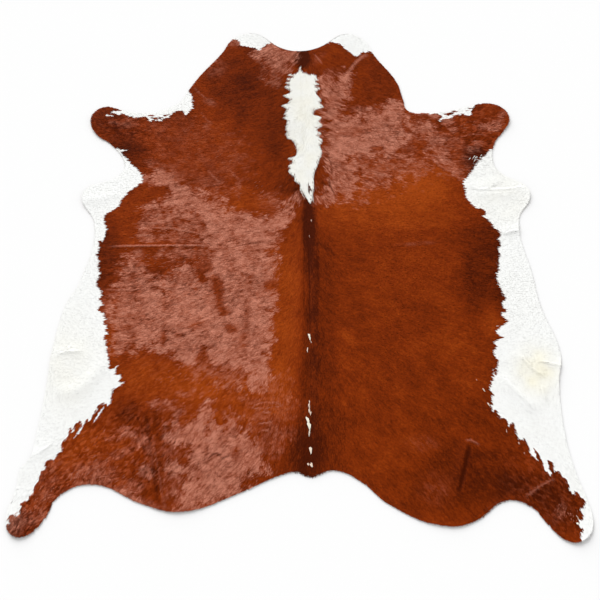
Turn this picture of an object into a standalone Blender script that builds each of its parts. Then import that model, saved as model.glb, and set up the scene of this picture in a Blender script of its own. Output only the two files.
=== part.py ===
"""Cowhide rug: one whole hair-on hide, tanned flat and laid hair side up.

Units are metres and +Z is up. The neck is towards +Y and the hind shanks are towards -Y. The
origin is on the floor, at the middle of the hide's bounding box.
"""

import math

import bmesh
import bpy
from mathutils import Vector
from mathutils.geometry import intersect_point_line

# Driving dimensions
HIDE_SPAN = 2.004  # across both hind shanks
HIDE_LENGTH = 2.255  # crest of the neck to the tip of a hind shank
SKIN = 0.0024  # the leather alone
COAT = 0.0020  # the hair, lying down
THICKNESS = SKIN + COAT

# How finely the sheet is divided
CELL = 0.056  # where the hide lies flat
FOLD_CUTS = 2  # cuts across a cell that a fold passes
FOLD_MARGIN = CELL / 4  # how far past a fold's foot the cells are still cut finer
EDGE_STEPS = 6  # steps of the cut edge between two landmarks
FOLD_STEPS = 8  # straight steps that a fold's bow is worked out in
FOLD_FADE = 0.25  # share of a fold's length over which each of its ends fades out
CUTTER_REACH = 0.1  # how far the outline's prism goes above and below the floor
MERGE = 0.0001  # points closer than this are made one

COAT_COLOUR = (0.19, 0.045, 0.014, 1.0)
COAT_ROUGHNESS = 0.55

# Places on the hide are shares of half its span and half its length, from its middle: across runs
# from -1 at the left hind shank to 1 at the right, and along from -1 at the hind tips to 1 at the
# neck's crest.

# The cut edge, from the neck to the tail: each landmark on the left side and on the right.
# landmark, left across, left along, right across, right along
LANDMARKS = (
    ("neck notch", -0.061, 0.925, 0.077, 0.933),
    ("neck crest", -0.201, 1.000, 0.196, 0.997),
    ("crest shoulder", -0.280, 0.970, 0.269, 0.965),
    ("crest foot", -0.325, 0.902, 0.313, 0.890),
    ("neck side", -0.422, 0.781, 0.402, 0.762),
    ("neck root", -0.453, 0.732, 0.423, 0.688),
    ("shoulder hollow", -0.489, 0.674, 0.443, 0.632),
    ("fore shank root", -0.548, 0.641, 0.523, 0.627),
    ("fore shank front", -0.624, 0.625, 0.596, 0.631),
    ("fore shank dip", -0.715, 0.637, 0.687, 0.654),
    ("fore shank brow", -0.789, 0.651, 0.766, 0.667),
    ("fore shank corner", -0.834, 0.626, 0.827, 0.645),
    ("fore shank tip", -0.845, 0.577, 0.850, 0.590),
    ("fore shank heel", -0.813, 0.522, 0.818, 0.537),
    ("fore shank back", -0.756, 0.484, 0.784, 0.492),
    ("armpit", -0.694, 0.387, 0.771, 0.402),
    ("elbow flap root", -0.719, 0.344, 0.795, 0.361),
    ("elbow flap corner", -0.831, 0.295, 0.888, 0.302),
    ("elbow flap point", -0.851, 0.257, 0.903, 0.262),
    ("waist", -0.793, 0.147, 0.851, 0.168),
    ("fore flank", -0.832, -0.094, 0.882, -0.065),
    ("flank", -0.870, -0.170, 0.900, -0.181),
    ("flank bulge", -0.907, -0.368, 0.954, -0.357),
    ("hind flank", -0.911, -0.465, 0.936, -0.465),
    ("groin", -0.932, -0.661, 0.940, -0.661),
    ("groin notch", -0.942, -0.725, 0.952, -0.735),
    ("hock", -0.969, -0.752, 0.968, -0.795),
    ("hind shank", -0.979, -0.818, 0.987, -0.854),
    ("hind shank side", -1.000, -0.934, 0.998, -0.950),
    ("hind shank tip", -0.980, -0.974, 0.967, -0.990),
    ("hind shank end", -0.937, -0.981, 0.922, -0.998),
    ("hind shank back", -0.862, -0.909, 0.838, -0.930),
    ("hind hollow side", -0.835, -0.854, 0.801, -0.886),
    ("hind hollow", -0.725, -0.811, 0.714, -0.864),
    ("haunch", -0.537, -0.877, 0.599, -0.931),
    ("haunch low", -0.416, -0.902, 0.512, -0.948),
    ("rump side", -0.195, -0.834, 0.304, -0.873),
    ("rump", -0.088, -0.789, 0.220, -0.805),
    ("tail root", -0.012, -0.770, 0.120, -0.765),
)
NECK_MIDDLE = (0.010, 0.917)
TAIL_MIDDLE = (0.038, -0.784)

# Folds and creases that stand up from the floor, each along a bow through three places.
# fold, start across, along, middle across, along, end across, along, half width, height
FOLDS = (
    ("haunch fold left", -0.556, -0.540, -0.530, -0.661, -0.469, -0.925, 0.038, 0.007),
    ("haunch dart right", 0.605, -0.654, 0.563, -0.762, 0.543, -0.899, 0.030, 0.006),
    ("flank fold left", -0.890, -0.490, -0.777, -0.472, -0.708, -0.349, 0.042, 0.008),
    ("flank crease left", -0.920, -0.368, -0.850, -0.349, -0.781, -0.349, 0.026, 0.004),
    ("groin crease left", -0.963, -0.732, -0.910, -0.701, -0.857, -0.671, 0.026, 0.005),
    ("flank fold right", 0.716, -0.422, 0.781, -0.501, 0.856, -0.578, 0.040, 0.008),
    ("flank crease right", 0.789, -0.342, 0.838, -0.400, 0.892, -0.440, 0.026, 0.005),
    ("flank rim crease right", 0.851, -0.382, 0.901, -0.389, 0.980, -0.411, 0.026, 0.005),
    ("flank short crease right", 0.868, -0.458, 0.872, -0.494, 0.881, -0.543, 0.024, 0.004),
    ("waist crease right", 0.771, 0.102, 0.811, 0.119, 0.890, 0.131, 0.026, 0.006),
    ("armpit crease right", 0.655, 0.314, 0.717, 0.302, 0.799, 0.344, 0.026, 0.005),
    ("armpit fold right", 0.668, 0.276, 0.754, 0.268, 0.921, 0.297, 0.030, 0.006),
    ("elbow crease left", -0.870, 0.238, -0.780, 0.251, -0.704, 0.280, 0.028, 0.005),
    ("shank crease right", 0.761, -0.873, 0.831, -0.824, 0.912, -0.785, 0.026, 0.006),
    ("barrel crease left", -0.771, 0.050, -0.496, 0.054, -0.209, 0.054, 0.026, 0.003),
    ("backbone left", 0.002, 0.247, 0.002, -0.305, 0.005, -0.820, 0.028, 0.004),
    ("backbone right", 0.054, 0.247, 0.068, -0.305, 0.071, -0.820, 0.028, 0.004),
)

# Where the rim curls up off the floor, highest at the place given.
# curl, across, along, radius, height
CURLS = (
    ("hind tip left", -0.985, -0.975, 0.15, 0.009),
    ("hind tip right", 0.985, -0.988, 0.15, 0.009),
    ("fore tip left", -0.860, 0.577, 0.15, 0.010),
    ("fore tip right", 0.866, 0.595, 0.15, 0.008),
    ("elbow flap left", -0.865, 0.255, 0.13, 0.009),
    ("elbow flap right", 0.920, 0.268, 0.13, 0.008),
    ("neck crest left", -0.210, 1.020, 0.16, 0.006),
    ("neck crest right", 0.205, 1.020, 0.16, 0.006),
    ("haunch left", -0.408, -0.925, 0.14, 0.006),
    ("haunch right", 0.511, -0.970, 0.14, 0.005),
    ("flank rim right", 0.970, -0.450, 0.12, 0.007),
    ("flank rim left", -0.930, -0.420, 0.12, 0.005),
)


def clear_scene():
    for obj in list(bpy.data.objects):
        bpy.data.objects.remove(obj, do_unlink=True)


def new_collection(name):
    collection = bpy.data.collections.new(name)
    bpy.context.scene.collection.children.link(collection)
    return collection


def place(across, along):
    return Vector((across * HIDE_SPAN / 2, along * HIDE_LENGTH / 2, 0.0))


def smooth(share):
    """0 to 1 as share goes from 0 to 1, level at both ends."""
    share = min(max(share, 0.0), 1.0)
    return share * share * (3.0 - 2.0 * share)


def fold_path(start, middle, end):
    """Places along the bow that leaves start, goes through middle and reaches end."""
    pull = 2.0 * middle - (start + end) / 2.0
    places = []
    for step in range(FOLD_STEPS + 1):
        share = step / FOLD_STEPS
        rest = 1.0 - share
        places.append(rest * rest * start + 2.0 * rest * share * pull + share * share * end)
    return places


def fold_paths():
    """Each fold as its places, half width and height."""
    paths = []
    for _, ax, ay, bx, by, cx, cy, half_width, height in FOLDS:
        path = fold_path(place(ax, ay), place(bx, by), place(cx, cy))
        paths.append((path, half_width, height))
    return paths


def nearest_on(path, spot):
    """How far spot is from a path, and where along it the nearest place is, from 0 to 1."""
    found = []
    for step, (start, end) in enumerate(zip(path, path[1:])):
        _, share = intersect_point_line(spot, start, end)
        share = min(max(share, 0.0), 1.0)
        found.append(((spot - start.lerp(end, share)).length, (step + share) / FOLD_STEPS))
    return min(found)


def fold_lift(spot, path, half_width, height):
    """How far a fold lifts the hide at spot: a rounded ridge that fades out at both its ends."""
    away, along = nearest_on(path, spot)
    if away >= half_width:
        return 0.0
    fade = smooth(min(along, 1.0 - along) / FOLD_FADE)
    return height * fade * math.cos(math.pi / 2 * away / half_width) ** 2


def curl_lift(spot, curl):
    _, across, along, radius, height = curl
    away = (spot - place(across, along)).length / radius
    return height * max(0.0, 1.0 - away) ** 2


def drape(spot, paths):
    """Height of the hide's underside over the floor: nothing where it lies flat."""
    folds = sum(fold_lift(spot, *path) for path in paths)
    return folds + sum(curl_lift(spot, curl) for curl in CURLS)


def near_fold(spot, paths):
    """Whether a cell round this spot has a fold passing over it."""
    for path, half_width, _ in paths:
        if nearest_on(path, spot)[0] < half_width + FOLD_MARGIN:
            return True
    return False


def flat_sheet(paths):
    """The blank that the hide is cut from: square cells, divided again where a fold passes."""
    columns = math.ceil(HIDE_SPAN / CELL) + 1
    rows = math.ceil(HIDE_LENGTH / CELL) + 1
    bpy.ops.mesh.primitive_grid_add(x_subdivisions=columns, y_subdivisions=rows, size=1.0)
    sheet = bpy.context.object
    for vertex in sheet.data.vertices:
        vertex.co.x *= columns * CELL
        vertex.co.y *= rows * CELL
    shape = bmesh.new()
    shape.from_mesh(sheet.data)
    folded = [face for face in shape.faces if near_fold(face.calc_center_median(), paths)]
    edges = list({edge for face in folded for edge in face.edges})
    bmesh.ops.subdivide_edges(shape, edges=edges, cuts=FOLD_CUTS, use_grid_fill=True)
    bmesh.ops.triangulate(shape, faces=shape.faces)
    for vertex in shape.verts:
        vertex.co.z = drape(vertex.co.copy(), paths)
    shape.to_mesh(sheet.data)
    shape.free()
    return sheet


def outline_places():
    """The landmarks in order round the hide: down its right side and back up its left."""
    right = [place(row[3], row[4]) for row in LANDMARKS]
    left = [place(row[1], row[2]) for row in reversed(LANDMARKS)]
    return [place(*NECK_MIDDLE)] + right + [place(*TAIL_MIDDLE)] + left


def outline_prism(collection):
    """A prism on the hide's outline, tall enough to cut the sheet through."""
    places = outline_places()
    curve = bpy.data.curves.new("outline", "CURVE")
    curve.dimensions = "2D"
    curve.fill_mode = "BOTH"
    curve.extrude = CUTTER_REACH
    curve.resolution_u = EDGE_STEPS
    spline = curve.splines.new("BEZIER")
    spline.bezier_points.add(len(places) - 1)
    for point, spot in zip(spline.bezier_points, places):
        point.co = spot
        point.handle_left_type = "AUTO"
        point.handle_right_type = "AUTO"
    spline.use_cyclic_u = True
    drawn = bpy.data.objects.new("outline", curve)
    collection.objects.link(drawn)
    bpy.context.view_layer.update()
    graph = bpy.context.evaluated_depsgraph_get()
    mesh = bpy.data.meshes.new_from_object(drawn.evaluated_get(graph))
    shape = bmesh.new()
    shape.from_mesh(mesh)
    bmesh.ops.remove_doubles(shape, verts=shape.verts, dist=MERGE)
    bmesh.ops.recalc_face_normals(shape, faces=shape.faces)
    shape.to_mesh(mesh)
    shape.free()
    prism = bpy.data.objects.new("outline_prism", mesh)
    prism.matrix_world = drawn.matrix_world
    bpy.data.objects.remove(drawn)
    prism.hide_render = True
    prism.display_type = "WIRE"
    collection.objects.link(prism)
    return prism


def coat_material():
    material = bpy.data.materials.new("brown_coat")
    material.use_nodes = True
    shader = material.node_tree.nodes["Principled BSDF"]
    shader.inputs["Base Color"].default_value = COAT_COLOUR
    shader.inputs["Roughness"].default_value = COAT_ROUGHNESS
    shader.inputs["Metallic"].default_value = 0.0
    return material


def make_hide(collection, prism):
    hide = flat_sheet(fold_paths())
    hide.name = hide.data.name = "hide"
    for holder in list(hide.users_collection):
        holder.objects.unlink(hide)
    collection.objects.link(hide)
    hide.data.materials.append(coat_material())
    thicken = hide.modifiers.new("thickness", "SOLIDIFY")
    thicken.thickness = THICKNESS
    thicken.offset = 1.0
    cut = hide.modifiers.new("cut edge", "BOOLEAN")
    cut.operation = "INTERSECT"
    cut.solver = "EXACT"
    cut.object = prism
    weld = hide.modifiers.new("merged slivers", "WELD")
    weld.merge_threshold = MERGE
    return hide


def main():
    clear_scene()
    rug = new_collection("cowhide rug")
    cutters = new_collection("cutters")
    make_hide(rug, outline_prism(cutters))


main()
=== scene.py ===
"""Cowhide rug: the leather, its coat of laid hair with brown and white markings, and a studio.

Units are metres and +Z is up, as in the frame: the neck is towards +Y and the hind shanks are
towards -Y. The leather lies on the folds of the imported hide. The coat is some two hundred thousand
locks of hair, each a thin ridged blade that is laid along the way that the hair grows.
"""

import functools
import math

import bmesh
import bpy
import numpy as np
from bpy.props import FloatProperty, FloatVectorProperty, IntProperty, PointerProperty
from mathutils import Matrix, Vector
from mathutils.bvhtree import BVHTree
from mathutils.geometry import delaunay_2d_cdt


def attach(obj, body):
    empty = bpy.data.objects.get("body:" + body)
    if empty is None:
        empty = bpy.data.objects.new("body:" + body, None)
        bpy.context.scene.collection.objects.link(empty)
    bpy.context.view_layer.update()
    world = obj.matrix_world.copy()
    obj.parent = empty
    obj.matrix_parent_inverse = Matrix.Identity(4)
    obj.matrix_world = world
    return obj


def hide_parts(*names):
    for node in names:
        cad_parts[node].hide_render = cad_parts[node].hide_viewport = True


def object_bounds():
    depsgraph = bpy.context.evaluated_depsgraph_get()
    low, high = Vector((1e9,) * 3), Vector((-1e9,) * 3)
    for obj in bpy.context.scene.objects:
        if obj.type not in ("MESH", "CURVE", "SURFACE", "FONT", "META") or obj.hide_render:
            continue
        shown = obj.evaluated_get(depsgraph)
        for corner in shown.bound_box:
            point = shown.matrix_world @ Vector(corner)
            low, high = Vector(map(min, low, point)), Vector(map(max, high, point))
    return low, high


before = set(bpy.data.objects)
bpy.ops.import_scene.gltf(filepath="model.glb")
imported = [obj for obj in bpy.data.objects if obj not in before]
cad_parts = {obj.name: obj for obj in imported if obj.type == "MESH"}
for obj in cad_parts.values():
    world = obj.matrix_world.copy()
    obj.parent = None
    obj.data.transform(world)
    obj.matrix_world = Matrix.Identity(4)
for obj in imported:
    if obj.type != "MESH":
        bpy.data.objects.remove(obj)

bl_info = {
    "name": "Cowhide rug",
    "version": (1, 0, 0),
    "blender": (4, 5, 0),
    "location": "3D View > Sidebar > Rug",
    "description": "Makes the leather and the coat of a brown and white cowhide rug",
    "category": "Object",
}

CAD_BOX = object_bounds()
BODY = "root"
NODE = "hide"

# The frame's own size sets every place on the hide: a place is a share of half its span and half
# its length, from -1 at the left hind shank to 1 at the right, and from -1 at the hind tips to 1
# at the neck's crest.
SPAN = CAD_BOX[1].x - CAD_BOX[0].x
LENGTH = CAD_BOX[1].y - CAD_BOX[0].y
HALF = np.array((SPAN / 2, LENGTH / 2))

# How the hide's lie is measured
RASTER = 0.006  # pitch of the raster that holds heights and distances
RASTER_MARGIN = 0.06  # how far the raster goes past the hide
SOFTENING = 0.008  # reach over which the folds' facets are rounded off
MERGE = 0.00002  # points closer than this are one point
PROBE = 1.0  # how far below the floor the underside is looked at from
FACES_DOWN = -0.7  # a face whose normal rises less than this is part of the underside
FACES_OUT = 0.5  # a face whose normal rises or falls less than this is part of the cut side
KNOWN = 1e-4  # share of known cells from which a height is read
SLOPE_STEP = 0.004  # distance over which the slope of the hide is read

# The way that the hair grows, alike on both sides: the heading is in degrees, from straight
# towards the tail, turning outward.
# place, across, along, heading
GROWTH = (
    ("neck crest", 0.05, 0.95, 60),
    ("crest side", 0.25, 0.93, 65),
    ("neck", 0.05, 0.60, 72),
    ("neck side", 0.30, 0.80, 70),
    ("blaze end", 0.03, 0.27, 34),
    ("backbone front", 0.03, 0.00, 25),
    ("backbone middle", 0.03, -0.35, 15),
    ("backbone rear", 0.05, -0.70, 8),
    ("shoulder", 0.40, 0.45, 78),
    ("neck root", 0.18, 0.48, 86),
    ("withers", 0.14, 0.20, 84),
    ("fore shank root", 0.60, 0.63, 95),
    ("fore shank tip", 0.83, 0.60, 100),
    ("fore shank back", 0.78, 0.50, 80),
    ("elbow", 0.75, 0.30, 80),
    ("barrel front", 0.40, 0.10, 80),
    ("barrel middle", 0.45, -0.20, 66),
    ("inner barrel", 0.17, 0.06, 84),
    ("inner barrel middle", 0.17, -0.14, 74),
    ("inner barrel rear", 0.17, -0.32, 60),
    ("barrel rear", 0.40, -0.45, 50),
    ("waist rim", 0.80, 0.05, 80),
    ("flank", 0.80, -0.30, 95),
    ("flank rear", 0.90, -0.50, 35),
    ("haunch", 0.50, -0.70, 35),
    ("inner haunch", 0.25, -0.75, 45),
    ("hind shank", 0.85, -0.80, 35),
    ("hind shank tip", 0.95, -0.95, 30),
)
GROWTH_POWER = 1.6  # how sharply a heading gives way to the next
GROWTH_BLUR = 0.03  # distance, as a share, within which headings blend

# White markings, each a ring of places in thousandths of a share. A ring may run past the hide,
# where the rim cuts it.
WHITE_MARKINGS = {
    "left flank": (
        (-722, 462), (-713, 449), (-704, 437), (-692, 424), (-672, 404), (-645, 376), (-624, 350),
        (-620, 322), (-640, 306), (-655, 290), (-672, 280), (-682, 262), (-696, 244), (-705, 220),
        (-722, 206), (-736, 196), (-752, 186), (-757, 163), (-750, 140), (-745, 120), (-750, 92),
        (-752, 70), (-771, 76), (-766, 55), (-771, 22), (-765, 0), (-762, -32), (-755, -56),
        (-766, -86), (-759, -103), (-744, -122), (-743, -142), (-752, -156), (-738, -162),
        (-734, -176), (-753, -191), (-730, -206), (-727, -222), (-716, -228), (-727, -243),
        (-712, -254), (-717, -272), (-707, -280), (-723, -299), (-709, -312), (-711, -330),
        (-702, -352), (-698, -378), (-692, -392), (-689, -417), (-662, -400), (-668, -432),
        (-644, -434), (-651, -457), (-634, -464), (-657, -480), (-671, -486), (-674, -512),
        (-677, -532), (-687, -548), (-692, -536), (-699, -546), (-704, -533), (-712, -540),
        (-722, -547), (-718, -558), (-731, -567), (-740, -590), (-750, -606), (-758, -595),
        (-766, -612), (-772, -620), (-778, -602), (-790, -604), (-798, -620), (-803, -638),
        (-813, -620), (-817, -645), (-823, -662), (-838, -676), (-832, -700), (-850, -711),
        (-856, -730), (-870, -729), (-886, -742), (-886, -762), (-901, -775), (-905, -800),
        (-916, -822), (-920, -846), (-935, -866), (-949, -868), (-957, -885), (-958, -914),
        (-968, -918), (-980, -911), (-990, -917), (-997, -928), (-1000, -946), (-1200, -946),
        (-1200, 462),
    ),
    "right flank": (
        (800, 464), (758, 454), (742, 438), (728, 423), (708, 408), (696, 390), (680, 366),
        (665, 348), (646, 322), (647, 302), (653, 284), (651, 262), (661, 242), (679, 220),
        (695, 210), (713, 206), (722, 188), (712, 174), (729, 163), (744, 144), (755, 128),
        (770, 110), (769, 94), (758, 86), (770, 71), (769, 58), (760, 46), (765, 22), (757, 4),
        (756, -36), (747, -58), (748, -90), (755, -116), (765, -138), (772, -150), (755, -166),
        (761, -184), (769, -200), (749, -206), (760, -222), (770, -237), (753, -250), (734, -254),
        (744, -262), (723, -274), (734, -288), (751, -297), (733, -303), (715, -318), (722, -334),
        (712, -348), (714, -372), (724, -380), (718, -404), (711, -440), (704, -414), (700, -444),
        (690, -468), (685, -490), (697, -505), (687, -512), (690, -532), (684, -556), (692, -568),
        (698, -560), (711, -578), (718, -592), (728, -586), (738, -604), (742, -618), (752, -608),
        (762, -614), (766, -636), (771, -654), (782, -666), (791, -660), (802, -678), (808, -712),
        (822, -724), (833, -732), (829, -712), (824, -696), (838, -712), (848, -738), (854, -762),
        (872, -786), (876, -772), (867, -744), (872, -736), (884, -745), (886, -768), (892, -776),
        (901, -769), (912, -786), (922, -795), (930, -815), (933, -832), (944, -848), (957, -838),
        (966, -852), (980, -866), (977, -884), (964, -894), (968, -914), (966, -926), (954, -930),
        (951, -948), (961, -964), (952, -978), (953, -995), (948, -1100), (1200, -1100),
        (1200, 464),
    ),
    "blaze": (
        (2, 838), (6, 816), (20, 806), (52, 797), (71, 794), (68, 783), (78, 773), (62, 768),
        (80, 754), (60, 748), (83, 737), (66, 716), (76, 700), (88, 682), (82, 668), (97, 650),
        (66, 638), (56, 618), (72, 610), (88, 602), (78, 584), (92, 566), (70, 548), (85, 532),
        (78, 518), (92, 500), (80, 476), (89, 452), (80, 420), (70, 390), (58, 358), (55, 326),
        (56, 300), (51, 268), (48, 243), (41, 231), (31, 246), (21, 262), (10, 280), (3, 292),
        (1, 310), (-18, 323), (-20, 340), (-33, 351), (-44, 367), (-38, 381), (-45, 389),
        (-27, 403), (-30, 413), (-46, 421), (-18, 431), (-10, 456), (-18, 484), (-32, 502),
        (-48, 510), (-54, 530), (-48, 540), (-56, 552), (-50, 586), (-64, 602), (-52, 610),
        (-62, 618), (-52, 640), (-72, 656), (-48, 668), (-40, 686), (-54, 694), (-66, 702),
        (-46, 712), (-36, 724), (-50, 734), (-62, 744), (-40, 750), (-58, 762), (-40, 770),
        (-54, 780), (-24, 788), (-48, 798), (-24, 800), (-10, 808), (-4, 820),
    ),
    "left crest": (
        (-290, 975), (-272, 968), (-256, 956), (-250, 936), (-222, 933), (-202, 926), (-186, 926),
        (-174, 913), (-160, 926), (-148, 937), (-143, 946), (-130, 945), (-118, 956), (-100, 945),
        (-60, 1000), (-211, 1068), (-316, 1019),
    ),
    "right crest": (
        (118, 951), (140, 955), (166, 946), (182, 934), (196, 918), (212, 909), (226, 895),
        (236, 886), (250, 891), (262, 905), (282, 905), (296, 911), (320, 900), (339, 970),
        (193, 1068), (90, 999),
    ),
    "left fore shank": (
        (-729, 634), (-745, 634), (-760, 632), (-765, 626), (-748, 620), (-735, 617), (-722, 622),
        (-700, 612), (-682, 605), (-655, 601), (-632, 606), (-620, 600), (-612, 586), (-603, 586),
        (-596, 594), (-588, 590), (-578, 595), (-570, 588), (-558, 591), (-548, 598), (-532, 602),
        (-524, 614), (-510, 628), (-492, 634), (-476, 630), (-472, 617), (-458, 615), (-450, 630),
        (-438, 648), (-440, 680), (-447, 712), (-500, 760), (-653, 700), (-720, 650),
    ),
    "right fore shank": (
        (500, 632), (521, 628), (532, 616), (544, 621), (560, 621), (575, 608), (563, 590),
        (574, 586), (588, 598), (606, 600), (622, 604), (640, 618), (655, 615), (666, 620),
        (688, 612), (700, 620), (704, 640), (712, 652), (720, 700), (575, 700),
    ),
}

# Single flecks of white in the brown, or of brown in the white.
# fleck, across, along, half its width, half its length, turn, how white
FLECKS = (
    ("left fore shank corner", -0.777, 0.612, 0.013, 0.005, -10, 1),
    ("left fore shank brown, first", -0.606, 0.612, 0.010, 0.004, 0, 0),
    ("left fore shank brown, second", -0.590, 0.600, 0.016, 0.005, -12, 0),
    ("left fore shank brown, third", -0.545, 0.612, 0.014, 0.003, 22, 0),
    ("left fore shank brown, fourth", -0.572, 0.600, 0.013, 0.004, 24, 0),
    ("right fore shank brown, first", 0.610, 0.620, 0.018, 0.006, 8, 0),
    ("right fore shank brown, second", 0.628, 0.630, 0.010, 0.003, 0, 0),
    ("right fore shank brown, third", 0.700, 0.643, 0.008, 0.002, 10, 0),
    ("left hip, upper", -0.7135, -0.573, 0.0045, 0.034, -26, 1),
    ("left hip, lower", -0.7780, -0.631, 0.0045, 0.029, -25, 1),
    ("right hip brown", 0.877, -0.752, 0.008, 0.016, 12, 0),
    ("blaze end, brown", 0.041, 0.286, 0.005, 0.017, 8, 0),
)

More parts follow.
